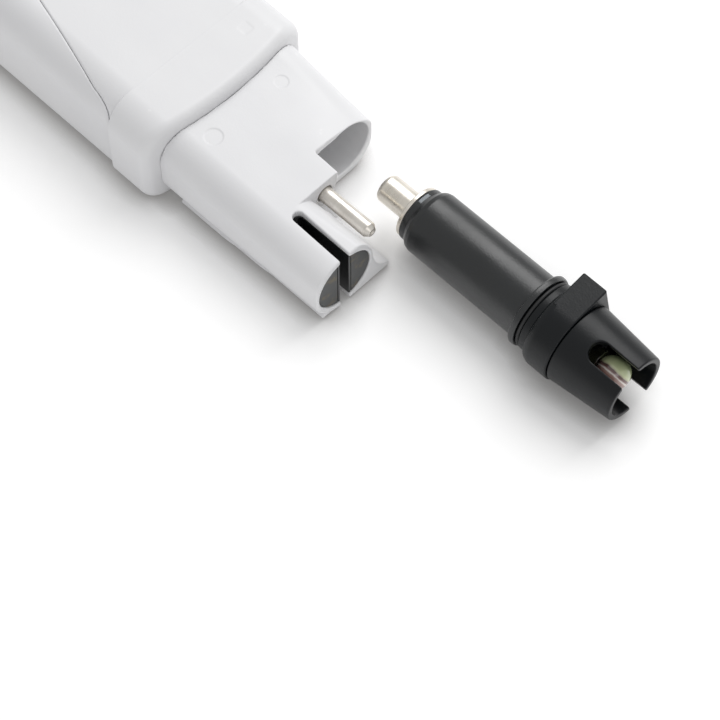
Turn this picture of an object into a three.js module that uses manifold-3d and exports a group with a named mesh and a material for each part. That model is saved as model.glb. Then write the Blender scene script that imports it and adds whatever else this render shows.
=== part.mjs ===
// Pocket water quality probe, lying face down, with its replaceable pH electrode pulled out in line
// with its socket. Millimetres, +Z up. While the pieces are made, X is measured from the middle of
// the case, Y from the mouth of the pH socket towards the battery end, and Z from the table.
// The last lines move the whole assembly so that its origin is the middle of its footprint.
import * as THREE from 'three';
import { mergeVertices } from 'three/addons/utils/BufferGeometryUtils.js';
import Module from 'manifold-3d';

const wasm = await Module();
wasm.setup();

// ---- Driving dimensions -------------------------------------------------------------------------

const FIT = 0.3;                    // gap between moulded pieces that meet
const SMALL = 0.1;                  // gap between small pieces that rest on each other
const AXIS_X = 9.45;                // pH socket axis, from the middle of the case
const AXIS_Z = 8.2;                 // pH socket axis above the table
const CELL_X = -9.35;               // conductivity cell axis
const CELL_Z = 7.7;

const HOUSING_HALF_WIDTH = 16.7;    // probe housing, the narrow sensor end
const HOUSING_BOTTOM = 0.3;
const HOUSING_TOP = 16;             // height of the flat back at the socket mouth
const HOUSING_SLOPE = 0.06;         // the back falls towards the sensor end
const CELL_END_Y = -18.9;           // end face of the conductivity cell
const HOUSING_CROWN = 0.0105;       // fall of the back towards its socket side, per mm squared
const CROWN_END_Y = 18;             // the crown is full at the mouth and fades out here
const HOUSING_FLARE = 0.002;        // the socket side widens towards the head, per mm
const HOUSING_WAIST_Z = 8.2;        // the housing leans and falls only above this height
const BLOCK_END_Y = -5.75;          // end face of the block that carries the temperature pin
const BLOCK_SIDE_X = 2.2;           // side of that block, towards the socket

const MIDDLE_HALF_WIDTH = 19.8;     // shell round the seam with the probe housing
const UPPER_HALF_WIDTH = 19;        // display and battery section
const HEAD_TOP = 20;                // height of the back at HEAD_FRONT_Y
const HEAD_SLOPE = 0.03;            // the back rises towards the battery end
const HEAD_FRONT_Y = 20;
const HEAD_NOSE_Y = 18.7;           // the front of the middle shell is bowed: this is its middle
const HEAD_BOW = 0.0063;            // how fast it falls back to the sides, per mm squared
const SEAM_Y = 30.6;                // seam between the middle shell and the upper shell
const HEAD_REAR_Y = 114;
const CAP_FRONT_Y = 115;
const CAP_REAR_Y = 130;
const FRONT_WALL = 1.2;             // wall on the display side
const WALL = 1.7;

const BORE_RADIUS = 6.45;           // pH socket
const NECK_RADIUS = 5.85;           // the bore narrows round the electrode's rear collar
const NECK_FRONT_Y = 26.3;
const BORE_REAR_Y = 36;
const CELL_RADIUS = 6.3;
const SLOT_WIDTH = 2.2;             // open slot between the conductivity electrodes
const SLOT_REAR_Y = -6.4;
const PIN_X = -1.1;
const PIN_Z = 12.1;
const PIN_RADIUS = 1.5;
const PIN_TIP_Y = -17.4;

const ELECTRODE_ROLL = -12;         // degrees about +Y, as the electrode lies
const TUBE_RADIUS = 6.3;
const FLANGE_RADIUS = 7.3;
const COLLAR_RADIUS = 8.2;
const GUARD_END_Y = -69.8;

// ---- Materials ----------------------------------------------------------------------------------

function material(color, roughness, metalness = 0) {
  return new THREE.MeshStandardMaterial({ color, roughness, metalness });
}

const whiteShell = material(0xe9e9ea, 0.42);
const blackPlastic = material(0x1d1f21, 0.4);
const blackRubber = material(0x141414, 0.55);
const darkCell = material(0x3d3f40, 0.5);
const nickel = material(0xc9c3b4, 0.25, 1);
const steel = material(0xb9b7b0, 0.22, 1);
const gold = material(0xc9a24a, 0.3, 1);
const pinkGlass = material(0xcfd3a6, 0.08);
const clearPlastic = material(0xdfe8ea, 0.1);
const greyPlastic = material(0x8d9296, 0.5);
const boardGreen = material(0x1f5b3a, 0.5);
const lcdGlass = material(0x9aa892, 0.2);
const whiteInsulator = material(0xe4e0d4, 0.5);

// ---- Helpers ------------------------------------------------------------------------------------

function solid(geometry) {
  const bare = geometry.clone();
  bare.deleteAttribute('normal');
  bare.deleteAttribute('uv');
  const merged = mergeVertices(bare, 1e-4);
  return new wasm.Manifold(new wasm.Mesh({
    numProp: 3,
    vertProperties: Float32Array.from(merged.attributes.position.array),
    triVerts: Uint32Array.from(merged.index.array),
  }));
}

function geometryOf(manifold) {
  const mesh = manifold.getMesh();
  const geometry = new THREE.BufferGeometry();
  geometry.setAttribute('position', new THREE.BufferAttribute(mesh.vertProperties, 3));
  geometry.setIndex(new THREE.BufferAttribute(mesh.triVerts, 1));
  geometry.computeVertexNormals();
  return geometry;
}

function carve(base, { add = [], cut = [] }) {
  let result = solid(base);
  for (const piece of add) {
    result = result.add(solid(piece));
  }
  for (const tool of cut) {
    result = result.subtract(solid(tool));
  }
  return geometryOf(result);
}

function common(first, second) {
  return geometryOf(solid(first).intersect(solid(second)));
}

function box(x0, x1, y0, y1, z0, z1) {
  const geometry = new THREE.BoxGeometry(x1 - x0, y1 - y0, z1 - z0);
  return geometry.translate((x0 + x1) / 2, (y0 + y1) / 2, (z0 + z1) / 2);
}

// A cylinder or cone along Y, from y0 (radius r0) to y1 (radius r1).
function rod(r0, y0, y1, x = 0, z = 0, r1 = r0, segments = 24) {
  const geometry = new THREE.CylinderGeometry(r1, r0, y1 - y0, segments);
  return geometry.translate(x, (y0 + y1) / 2, z);
}

// A disc or boss that stands along Z.
function post(radius, z0, z1, x, y, segments = 16) {
  const geometry = new THREE.CylinderGeometry(radius, radius, z1 - z0, segments);
  return geometry.rotateX(Math.PI / 2).translate(x, y, (z0 + z1) / 2);
}

// A closed profile of [radius, y] pairs turned about the Y axis, then set on the axis at (x, z).
function turned(profile, x = 0, z = 0, segments = 36) {
  const points = profile.map(([radius, y]) => new THREE.Vector2(radius, y));
  return new THREE.LatheGeometry(points, segments).translate(x, 0, z);
}

// An outline drawn in X and Z, run along Y from y0 to y1.
function alongY(shape, y0, y1, curveSegments = 6) {
  const geometry = new THREE.ExtrudeGeometry(shape, { depth: y1 - y0, bevelEnabled: false, curveSegments });
  return geometry.rotateX(Math.PI / 2).translate(0, y1, 0);
}

// An outline drawn in X and Y, run up from z0 to z1.
function alongZ(shape, z0, z1, curveSegments = 6) {
  const geometry = new THREE.ExtrudeGeometry(shape, { depth: z1 - z0, bevelEnabled: false, curveSegments });
  return geometry.translate(0, 0, z0);
}

function roundedOutline(x0, x1, low, high, lowRadius, highRadius, topSteps = 1) {
  const shape = new THREE.Shape();
  shape.moveTo(x0 + lowRadius, low);
  shape.lineTo(x1 - lowRadius, low);
  shape.absarc(x1 - lowRadius, low + lowRadius, lowRadius, -Math.PI / 2, 0, false);
  shape.lineTo(x1, high - highRadius);
  shape.absarc(x1 - highRadius, high - highRadius, highRadius, 0, Math.PI / 2, false);
  for (let i = 1; i < topSteps; i += 1) {
    shape.lineTo(x1 - highRadius - (i / topSteps) * (x1 - x0 - 2 * highRadius), high);
  }
  shape.lineTo(x0 + highRadius, high);
  shape.absarc(x0 + highRadius, high - highRadius, highRadius, Math.PI / 2, Math.PI, false);
  shape.lineTo(x0, low + lowRadius);
  shape.absarc(x0 + lowRadius, low + lowRadius, lowRadius, Math.PI, 1.5 * Math.PI, false);
  return shape;
}

// Leans the upper part of a body: what is above baseZ grows or shrinks in step with Y.
function leanTop(geometry, baseZ, topZ, pivotY, slope) {
  const position = geometry.attributes.position;
  for (let i = 0; i < position.count; i += 1) {
    const rise = Math.max(0, (position.getZ(i) - baseZ) / (topZ - baseZ));
    position.setZ(i, position.getZ(i) + rise * slope * (position.getY(i) - pivotY));
  }
  return geometry;
}

// Lowers the socket side of the housing's back, as a crown that fades out towards the head, and
// widens that side towards the head.
function shapeSocketSide(geometry) {
  const position = geometry.attributes.position;
  for (let i = 0; i < position.count; i += 1) {
    const y = position.getY(i);
    const side = Math.max(0, position.getX(i));
    const rise = Math.max(0, (position.getZ(i) - HOUSING_WAIST_Z) / (HOUSING_TOP - HOUSING_WAIST_Z));
    const crown = HOUSING_CROWN * (1 - y / CROWN_END_Y);
    position.setZ(i, position.getZ(i) - rise * crown * side * side);
    position.setX(i, position.getX(i) + side * HOUSING_FLARE * y);
  }
  return geometry;
}

function housingBody(y0, y1) {
  const halfWidth = HOUSING_HALF_WIDTH;
  const lowRadius = 6.2;
  const highRadius = 5.6;
  const topSteps = 10;
  const shape = roundedOutline(
    -halfWidth, halfWidth, HOUSING_BOTTOM, HOUSING_TOP, lowRadius, highRadius, topSteps,
  );
  const body = shapeSocketSide(alongY(shape, y0, y1));
  return leanTop(body, HOUSING_WAIST_Z, HOUSING_TOP, 0, HOUSING_SLOPE);
}

// Display and battery section, or with an inset the hollow inside it.
function headBody(y0, y1, halfWidth, inset = 0, frontInset = inset) {
  const top = HEAD_TOP - inset;
  const lowRadius = Math.max(0.6, 3.6 - inset);
  const highRadius = Math.max(0.6, 6.5 - inset);
  const leanFromZ = 10;
  const shape = roundedOutline(-halfWidth + inset, halfWidth - inset, frontInset, top, lowRadius, highRadius);
  return leanTop(alongY(shape, y0, y1), leanFromZ, top, HEAD_FRONT_Y, HEAD_SLOPE);
}

// Everything behind the bowed front of the middle shell, moved back by shift.
function behindBow(shift, rearY, cornerRadius = 0) {
  const shape = new THREE.Shape();
  const halfWidth = MIDDLE_HALF_WIDTH + (cornerRadius > 0 ? 0 : 5);
  const reach = halfWidth - cornerRadius;
  const steps = 14;
  const bowAt = (x) => HEAD_NOSE_Y + HEAD_BOW * x * x + shift;
  shape.moveTo(-halfWidth, rearY);
  shape.lineTo(-halfWidth, bowAt(halfWidth) + cornerRadius);
  for (let i = 0; i <= steps; i += 1) {
    const x = -reach + (i / steps) * 2 * reach;
    shape.lineTo(x, bowAt(x));
  }
  shape.lineTo(halfWidth, bowAt(halfWidth) + cornerRadius);
  shape.lineTo(halfWidth, rearY);
  return alongZ(shape, -5, 40);
}

const parts = new THREE.Group();

function place(name, geometry, surface, group = parts) {
  const mesh = new THREE.Mesh(geometry, surface);
  mesh.name = name;
  group.add(mesh);
  return mesh;
}

// ---- Probe housing ------------------------------------------------------------------------------

// What is taken away beside the cell, as seen from the sensor end: above the fin that the
// display-side wall forms, and round the flank of the cell.
function besideCellShape() {
  const shape = new THREE.Shape();
  const finTipX = 1.75;
  const finTopZ = HOUSING_BOTTOM + 1.1;
  const flankHalf = 7;
  const shoulderHeight = 8.2;
  const startAngle = 1.4;             // where the flank leaves the flat back, in radians
  shape.moveTo(finTipX, -1);
  shape.lineTo(HOUSING_HALF_WIDTH + 1, -1);
  shape.lineTo(HOUSING_HALF_WIDTH + 1, 30);
  shape.lineTo(CELL_X + flankHalf * Math.cos(startAngle), 30);
  shape.lineTo(
    CELL_X + flankHalf * Math.cos(startAngle),
    CELL_Z + shoulderHeight * Math.sin(startAngle),
  );
  shape.absellipse(CELL_X, CELL_Z, flankHalf, shoulderHeight, startAngle, 0, true);
  shape.quadraticCurveTo(-1.4, finTopZ + 1.1, finTipX, finTopZ);
  return shape;
}

function slotShape(width, frontY, rearY) {
  const shape = new THREE.Shape();
  const half = width / 2;
  shape.moveTo(CELL_X - half, frontY);
  shape.lineTo(CELL_X + half, frontY);
  shape.lineTo(CELL_X + half, rearY - half);
  shape.absarc(CELL_X, rearY - half, half, 0, Math.PI, false);
  return shape;
}

function probeHousing() {
  const spigot = roundedOutline(-16, HOUSING_HALF_WIDTH - 0.4, 1.5, 15.6, 5, 5);
  const collarRoom = 8.7;
  const rearY = 24;
  const shell = carve(housingBody(CELL_END_Y, rearY), { cut: [behindBow(-FIT, rearY + 5)] });
  return carve(shell, {
    add: [
      alongY(spigot, HEAD_NOSE_Y - 2, 27),
      rod(6.65, 26, BORE_REAR_Y + 1.5, AXIS_X, AXIS_Z, 6.65, 40),
    ],
    cut: [
      alongY(besideCellShape(), CELL_END_Y - 1, BLOCK_END_Y),
      rod(collarRoom, CELL_END_Y - 1, 0, AXIS_X, AXIS_Z, collarRoom, 56),
      box(BLOCK_SIDE_X, HOUSING_HALF_WIDTH + 1, CELL_END_Y - 1, 0, -1, 30),
      rod(BORE_RADIUS, -1, NECK_FRONT_Y, AXIS_X, AXIS_Z, BORE_RADIUS, 40),
      rod(NECK_RADIUS, NECK_FRONT_Y - 1, BORE_REAR_Y, AXIS_X, AXIS_Z, NECK_RADIUS, 40),
      rod(3.4, BORE_REAR_Y - 1, BORE_REAR_Y + 3, AXIS_X, AXIS_Z),
      box(BLOCK_SIDE_X + 0.4, AXIS_X, -1, 3.5, AXIS_Z, 14.3),
      rod(CELL_RADIUS, CELL_END_Y - 1, 6, CELL_X, CELL_Z, CELL_RADIUS, 48),
      alongZ(slotShape(SLOT_WIDTH, CELL_END_Y - 1, SLOT_REAR_Y), -1, 30),
      rod(PIN_RADIUS + 0.25, BLOCK_END_Y - 1, 12, PIN_X, PIN_Z),
      box(-14.5, 0.9, 10, 30, 4, 13.5),
      post(1.75, HOUSING_TOP + 0.68, 30, -8.6, 14.6),
    ],
  });
}

place('probe_housing', probeHousing(), whiteShell);

// ---- Middle shell with its tongue, upper shell, and battery cap ---------------------------------

// The tongue of the middle shell, seen from the back; grow widens it for the opening around it.
function tongueShape(grow) {
  const shape = new THREE.Shape();
  const footY = SEAM_Y - 1;
  const footX = MIDDLE_HALF_WIDTH + 2;
  const shoulder = 16.9 + grow;
  const shoulderY = SEAM_Y + 6;
  const neck = 6.6 + grow;
  const neckY = 76;
  shape.moveTo(-footX, footY);
  shape.lineTo(footX, footY);
  shape.lineTo(footX, SEAM_Y + grow);
  shape.lineTo(UPPER_HALF_WIDTH, SEAM_Y + grow);
  shape.quadraticCurveTo(shoulder + 0.6, SEAM_Y + 1 + grow, shoulder, shoulderY);
  shape.lineTo(neck, neckY);
  shape.absarc(0, neckY, neck, 0, Math.PI, false);
  shape.lineTo(-shoulder, shoulderY);
  shape.quadraticCurveTo(-shoulder - 0.6, SEAM_Y + 1 + grow, -UPPER_HALF_WIDTH, SEAM_Y + grow);
  shape.lineTo(-footX, SEAM_Y + grow);
  return shape;
}

function sleeve(y0, y1) {
  return carve(headBody(y0, y1, UPPER_HALF_WIDTH), {
    cut: [headBody(y0 - 1, y1 + 1, UPPER_HALF_WIDTH, WALL, FRONT_WALL)],
  });
}

const TONGUE_LOW_Z = 15.2;            // the tongue is part of the back only

function middleShell() {
  const frontY = HEAD_NOSE_Y - 1;
  const cornerRadius = 2.6;
  const outside = common(
    headBody(frontY, SEAM_Y, MIDDLE_HALF_WIDTH),
    behindBow(0, SEAM_Y + 1, cornerRadius),
  );
  const inside = common(
    headBody(frontY, SEAM_Y + 1, MIDDLE_HALF_WIDTH, WALL, FRONT_WALL),
    behindBow(WALL, SEAM_Y + 2),
  );
  const opening = roundedOutline(-16.2, HOUSING_HALF_WIDTH - 0.2, FRONT_WALL, 15.9, 5, 5);
  const ring = carve(outside, { cut: [inside, alongY(opening, frontY - 1, SEAM_Y - 5)] });
  const tongue = common(sleeve(SEAM_Y - 0.5, 90), alongZ(tongueShape(0), TONGUE_LOW_Z, 40));
  const mark = box(9.3, 11.5, 24.8, 27, HEAD_TOP, 30);
  return carve(ring, { add: [tongue], cut: [mark] });
}

const WINDOW = { halfWidth: 14.2, y0: 72, y1: 103 };
const BUTTONS = [
  { name: 'mode_button', x: -8 },
  { name: 'hold_button', x: 8 },
];
const BUTTON_Y = 56;
const CAP_SCREWS = [
  { x: -15.6, z: 3.9 },
  { x: 15.6, z: 3.9 },
  { x: -15, z: 17.4 },
  { x: 15, z: 17.4 },
];
const SCREW_HOLE = 1.3;
const BOSS_FRONT_Y = 105.5;

function buttonOutline(x, grow) {
  return roundedOutline(x - 5 - grow, x + 5 + grow, BUTTON_Y - 3.5 - grow, BUTTON_Y + 3.5 + grow,
    3.4 + grow, 3.4 + grow);
}

function screwHoles(y0, y1) {
  return CAP_SCREWS.map(({ x, z }) => rod(SCREW_HOLE, y0, y1, x, z, SCREW_HOLE, 12));
}

function upperShell() {
  const bosses = CAP_SCREWS.map(({ x, z }) => rod(2.6, BOSS_FRONT_Y, HEAD_REAR_Y, x, z, 2.6, 16));
  const shell = carve(sleeve(SEAM_Y + FIT, HEAD_REAR_Y), {
    cut: [alongZ(tongueShape(FIT), TONGUE_LOW_Z - FIT, 40)],
  });
  const bossLimit = headBody(BOSS_FRONT_Y - 1, HEAD_REAR_Y, UPPER_HALF_WIDTH, 0.5);
  return carve(shell, {
    add: bosses.map((boss) => common(boss, bossLimit)),
    cut: [
      ...screwHoles(BOSS_FRONT_Y - 1, HEAD_REAR_Y + 1),
      box(-WINDOW.halfWidth, WINDOW.halfWidth, WINDOW.y0, WINDOW.y1, -1, FRONT_WALL + 0.5),
      ...BUTTONS.map(({ x }) => alongZ(buttonOutline(x, FIT), -1, FRONT_WALL + 0.5)),
    ],
  });
}

function batteryCap() {
  const seats = CAP_SCREWS.map(({ x, z }) => rod(2.3, CAP_REAR_Y - 4, CAP_REAR_Y + 1, x, z, 2.3, 12));
  const hollow = headBody(CAP_FRONT_Y - 1, CAP_REAR_Y - 2.2, UPPER_HALF_WIDTH, 7);
  return carve(headBody(CAP_FRONT_Y, CAP_REAR_Y, UPPER_HALF_WIDTH), {
    cut: [hollow, ...screwHoles(CAP_FRONT_Y - 1, CAP_REAR_Y), ...seats],
  });
}

function capGasket() {
  return carve(headBody(HEAD_REAR_Y + SMALL, CAP_FRONT_Y - SMALL, UPPER_HALF_WIDTH, 0.4), {
    cut: [
      headBody(HEAD_REAR_Y - 1, CAP_FRONT_Y + 1, UPPER_HALF_WIDTH, 6),
      ...screwHoles(HEAD_REAR_Y - 1, CAP_FRONT_Y + 1),
    ],
  });
}

place('middle_shell', middleShell(), whiteShell);
place('upper_shell', upperShell(), whiteShell);
place('battery_cap', batteryCap(), whiteShell);
place('cap_gasket', capGasket(), blackRubber);

CAP_SCREWS.forEach(({ x, z }, index) => {
  const shank = 0.95;
  const profile = [
    [0, 106], [shank, 106], [shank, CAP_REAR_Y - 3.8], [1.9, CAP_REAR_Y - 3.8],
    [1.9, CAP_REAR_Y - 2], [0, CAP_REAR_Y - 2],
  ];
  place(`cap_screw_${index + 1}`, turned(profile, x, z, 12), steel);
});

// ---- Display side -------------------------------------------------------------------------------

place('display_window',
  box(-WINDOW.halfWidth + FIT, WINDOW.halfWidth - FIT, WINDOW.y0 + FIT, WINDOW.y1 - FIT, 0.15, 1.3),
  clearPlastic);

const FRAME_BOTTOM = 1.5;
const BOARD_BOTTOM = 5.4;
const BOARD_TOP = 6.8;

function lcdFrame() {
  const y0 = WINDOW.y0 - 1.5;
  const y1 = WINDOW.y1 + 1.5;
  return carve(box(-15.7, 15.7, y0, y1, FRAME_BOTTOM, BOARD_BOTTOM - SMALL), {
    cut: [
      box(-13.2, 13.2, y0 + 3, y1 - 3, 0, 10),
      box(-14.4, 14.4, y0 + 1.5, y1 - 1.5, FRAME_BOTTOM + 0.5, 10),
    ],
  });
}

place('lcd_frame', lcdFrame(), blackPlastic);
place('lcd_glass', box(-14.2, 14.2, WINDOW.y0 + 0.2, WINDOW.y1 - 0.2, FRAME_BOTTOM + 0.6, 4.2), lcdGlass);

const STRIP_PLACES = [WINDOW.y0 + 2.2, WINDOW.y1 - 2.2];
STRIP_PLACES.forEach((y, index) => {
  place(`contact_strip_${index + 1}`, box(-12.8, 12.8, y - 1, y + 1, 4.3, BOARD_BOTTOM - SMALL), blackRubber);
});

for (const { name, x } of BUTTONS) {
  const skirt = roundedOutline(x - 6.2, x + 6.2, BUTTON_Y - 4.7, BUTTON_Y + 4.7, 4.4, 4.4);
  const body = carve(alongZ(buttonOutline(x, 0), 0.25, 2), {
    add: [alongZ(skirt, FRONT_WALL + 0.15, 2.1), post(1.4, 1.9, 2.9, x, BUTTON_Y)],
  });
  place(name, body, greyPlastic);
}

BUTTONS.forEach(({ x }, index) => {
  const plunger = post(1.2, 3.7, 4.4, x, BUTTON_Y);
  const base = box(x - 3, x + 3, BUTTON_Y - 3, BUTTON_Y + 3, 4.2, BOARD_BOTTOM - SMALL);
  const body = carve(base, { add: [plunger] });
  place(`tact_switch_${index + 1}`, body, blackPlastic);
});

function circuitBoard() {
  const mountHole = (x, y) => post(1.5, 0, 10, x, y, 16);
  return carve(box(-15.6, 15.6, 40, 98.5, BOARD_BOTTOM, BOARD_TOP), {
    cut: [mountHole(-13.5, 43), mountHole(13.5, 43)],
  });
}

place('circuit_board', circuitBoard(), boardGreen);
place('processor', box(-5, 5, 62, 72, BOARD_TOP + SMALL, BOARD_TOP + 1.5), blackPlastic);

// ---- Batteries ----------------------------------------------------------------------------------

const CELL_RADIUS_BATTERY = 5.8;
const BATTERY_Y = 106;
const BATTERY_Z = 12.6;
const BATTERY_LENGTH = 5.3;
const BATTERY_COUNT = 4;
const STACK_HALF = (BATTERY_COUNT * BATTERY_LENGTH) / 2;

function rodAlongX(radius, x0, x1, y, z, segments = 32) {
  const geometry = new THREE.CylinderGeometry(radius, radius, x1 - x0, segments);
  return geometry.rotateZ(Math.PI / 2).translate((x0 + x1) / 2, y, z);
}

function batteryHolder() {
  const halfLength = STACK_HALF + 2.2;
  return carve(box(-halfLength, halfLength, BATTERY_Y - 6.9, BATTERY_Y + 6.9, 5.6, BATTERY_Z + 1), {
    cut: [
      rodAlongX(CELL_RADIUS_BATTERY + 0.3, -STACK_HALF - 0.9, STACK_HALF + 0.9, BATTERY_Y, BATTERY_Z, 40),
      box(-STACK_HALF - 0.9, STACK_HALF + 0.9, BATTERY_Y - 6.1, BATTERY_Y + 6.1, BATTERY_Z, 30),
    ],
  });
}

place('battery_holder', batteryHolder(), blackPlastic);
for (let i = 0; i < BATTERY_COUNT; i += 1) {
  const x0 = -STACK_HALF + i * BATTERY_LENGTH;
  const can = rodAlongX(CELL_RADIUS_BATTERY, x0 + 0.75, x0 + BATTERY_LENGTH - 0.1, BATTERY_Y, BATTERY_Z);
  const button = rodAlongX(4.4, x0 + 0.05, x0 + 1, BATTERY_Y, BATTERY_Z, 24);
  place(`battery_${i + 1}`, carve(can, { add: [button] }), steel);
}
place('battery_contact_negative',
  box(-STACK_HALF - 0.7, -STACK_HALF - 0.1, BATTERY_Y - 2.5, BATTERY_Y + 2.5, 8, BATTERY_Z + 3), nickel);
place('battery_contact_positive',
  box(STACK_HALF + 0.1, STACK_HALF + 0.7, BATTERY_Y - 2.5, BATTERY_Y + 2.5, 8, BATTERY_Z + 3), nickel);

// ---- Sensors in the housing ---------------------------------------------------------------------

function temperaturePin() {
  const rearY = 7.5;
  const shoulderY = PIN_TIP_Y + 0.9;
  const dimple = 0.45;
  return turned([
    [0, PIN_TIP_Y + dimple], [dimple, PIN_TIP_Y], [PIN_RADIUS * 0.62, PIN_TIP_Y],
    [PIN_RADIUS, shoulderY], [PIN_RADIUS, rearY], [0, rearY],
  ], PIN_X, PIN_Z, 28);
}

place('temperature_pin', temperaturePin(), steel);

// Two dark blocks fill the round cell on either side of the slot, each behind a black liner.
const LINER = 0.45;
const CELL_FACE_Y = CELL_END_Y + 0.25;
const CELL_BACK_Y = 5.5;
const CELL_FILL_RADIUS = CELL_RADIUS - SMALL;

function cellBlock(side) {
  const inner = SLOT_WIDTH / 2 + LINER + SMALL;
  const x0 = side < 0 ? CELL_X - 10 : CELL_X + inner;
  const x1 = side < 0 ? CELL_X - inner : CELL_X + 10;
  return common(
    rod(CELL_FILL_RADIUS, CELL_FACE_Y, CELL_BACK_Y, CELL_X, CELL_Z, CELL_FILL_RADIUS, 48),
    box(x0, x1, CELL_FACE_Y - 1, CELL_BACK_Y + 1, -1, 30),
  );
}

function cellLiner() {
  const outerHalf = SLOT_WIDTH / 2 + LINER;
  const slab = common(
    rod(CELL_FILL_RADIUS, CELL_FACE_Y, CELL_BACK_Y, CELL_X, CELL_Z, CELL_FILL_RADIUS, 48),
    box(CELL_X - outerHalf, CELL_X + outerHalf, CELL_FACE_Y - 1, CELL_BACK_Y + 1, -1, 30),
  );
  return carve(slab, { cut: [alongZ(slotShape(SLOT_WIDTH, CELL_END_Y - 1, SLOT_REAR_Y), -1, 30)] });
}

place('cell_block_left', cellBlock(-1), darkCell);
place('cell_block_right', cellBlock(1), darkCell);
place('cell_liner', cellLiner(), blackPlastic);

// ---- pH socket at the back of the bore ----------------------------------------------------------

place('socket_barrel', turned([
  [2.9, 30.6], [3.35, 30.6], [3.35, 40], [0.9, 40], [0.9, 38.6], [2.9, 38.6], [2.9, 30.6],
], AXIS_X, AXIS_Z, 32), nickel);
place('socket_insulator', turned([
  [0.4, 38.8], [0.85, 38.8], [0.85, 41.5], [0.4, 41.5], [0.4, 38.8],
], AXIS_X, AXIS_Z, 20), whiteInsulator);
place('socket_contact', turned([
  [0, 31.5], [0.2, 31.2], [0.35, 31.6], [0.35, 43], [0, 43],
], AXIS_X, AXIS_Z, 16), gold);

// ---- pH electrode -------------------------------------------------------------------------------

// The electrode is drawn about its own axis and then set on the socket axis, rolled as it lies.
const electrode = new THREE.Group();
electrode.position.set(AXIS_X, 0, AXIS_Z);
electrode.rotation.y = THREE.MathUtils.degToRad(ELECTRODE_ROLL);
parts.add(electrode);

const PLUG_TIP_Y = -10.4;
const PLUG_BASE_Y = -17.8;
const PLUG_RADIUS = 2.75;
const FLANGE_REAR_Y = -18.7;
const COLLAR_REAR_Y = -20;
const SHOULDER_Y = -21.8;
const TUBE_FRONT_Y = -46.7;
const STOP_FRONT_Y = -48.1;         // front of the flange that stops at the socket's mouth
const NECK_REAR_Y = -49.1;          // the locking collar's narrow rear ring
const SHOULDER_REAR_Y = -50;
const COLLAR_FRONT_Y = -56.5;
const LUG_REAR_Y = -51.1;
const BULB_Y = -65;
const BULB_RADIUS = 3.15;
const STEM_END_Y = -62.1;
const GUARD_INNER_RADIUS = 5.6;
const GUARD_ROLL = -5;              // degrees, from the lug to the guard's slots
const JUNCTION_X = -4.4;            // reference junction beside the stem

place('plug_barrel', turned([
  [1, PLUG_BASE_Y], [PLUG_RADIUS, PLUG_BASE_Y], [PLUG_RADIUS, PLUG_TIP_Y - 0.7],
  [PLUG_RADIUS - 0.25, PLUG_TIP_Y - 0.2], [PLUG_RADIUS - 0.65, PLUG_TIP_Y], [1, PLUG_TIP_Y],
  [1, PLUG_BASE_Y],
], 0, 0, 36), nickel, electrode);
place('plug_insulator', turned([
  [0.5, PLUG_BASE_Y], [0.95, PLUG_BASE_Y], [0.95, PLUG_TIP_Y - 0.15], [0.5, PLUG_TIP_Y - 0.15],
  [0.5, PLUG_BASE_Y],
], 0, 0, 24), whiteInsulator, electrode);
place('plug_flange', turned([
  [0, FLANGE_REAR_Y], [5.2, FLANGE_REAR_Y], [5.2, PLUG_BASE_Y - SMALL], [0, PLUG_BASE_Y - SMALL],
], 0, 0, 44), nickel, electrode);

function rearCollar() {
  const radius = 5.35;
  const windowX = 1.6;
  const ring = turned([
    [0, COLLAR_REAR_Y], [radius, COLLAR_REAR_Y], [radius, FLANGE_REAR_Y - 0.3],
    [radius - 0.3, FLANGE_REAR_Y - SMALL], [0, FLANGE_REAR_Y - SMALL],
  ]);
  const window = box(windowX - 1.3, windowX + 1.3, COLLAR_REAR_Y + 0.2, FLANGE_REAR_Y - 0.3, 4.5, 8);
  return carve(ring, { cut: [window] });
}

place('rear_collar', rearCollar(), blackPlastic, electrode);

function electrodeTube() {
  return turned([
    [1.9, TUBE_FRONT_Y], [TUBE_RADIUS, TUBE_FRONT_Y], [TUBE_RADIUS, SHOULDER_Y],
    [TUBE_RADIUS - 0.15, SHOULDER_Y + 0.7], [TUBE_RADIUS - 0.7, COLLAR_REAR_Y - SMALL],
    [1.9, COLLAR_REAR_Y - SMALL], [1.9, TUBE_FRONT_Y],
  ]);
}

place('electrode_tube', electrodeTube(), blackPlastic, electrode);
place('reference_wire', turned([
  [0, -44], [0.4, -44], [0.4, COLLAR_REAR_Y - 0.4], [0, COLLAR_REAR_Y - 0.4],
], 0, 0, 12), gold, electrode);
place('stop_flange', turned([
  [0, STOP_FRONT_Y], [FLANGE_RADIUS - 0.2, STOP_FRONT_Y], [FLANGE_RADIUS, STOP_FRONT_Y + 0.3],
  [FLANGE_RADIUS, TUBE_FRONT_Y - 0.5], [FLANGE_RADIUS - 0.3, TUBE_FRONT_Y - SMALL],
  [0, TUBE_FRONT_Y - SMALL],
]), blackPlastic, electrode);

// The sealing ring sits in the groove between the stop flange and the collar.
const RING_SECTION = 0.4;
const RING_CENTRE_Y = (STOP_FRONT_Y + NECK_REAR_Y) / 2;
const RING_CENTRE_RADIUS = 6.5;

function sealingRing() {
  const profile = [];
  const steps = 8;
  for (let i = 0; i <= steps; i += 1) {
    const angle = -Math.PI / 2 + (i / steps) * 2 * Math.PI;
    profile.push([
      RING_CENTRE_RADIUS + RING_SECTION * Math.cos(angle),
      RING_CENTRE_Y + RING_SECTION * Math.sin(angle),
    ]);
  }
  return turned(profile);
}

place('sealing_ring', sealingRing(), blackRubber, electrode);

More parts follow.
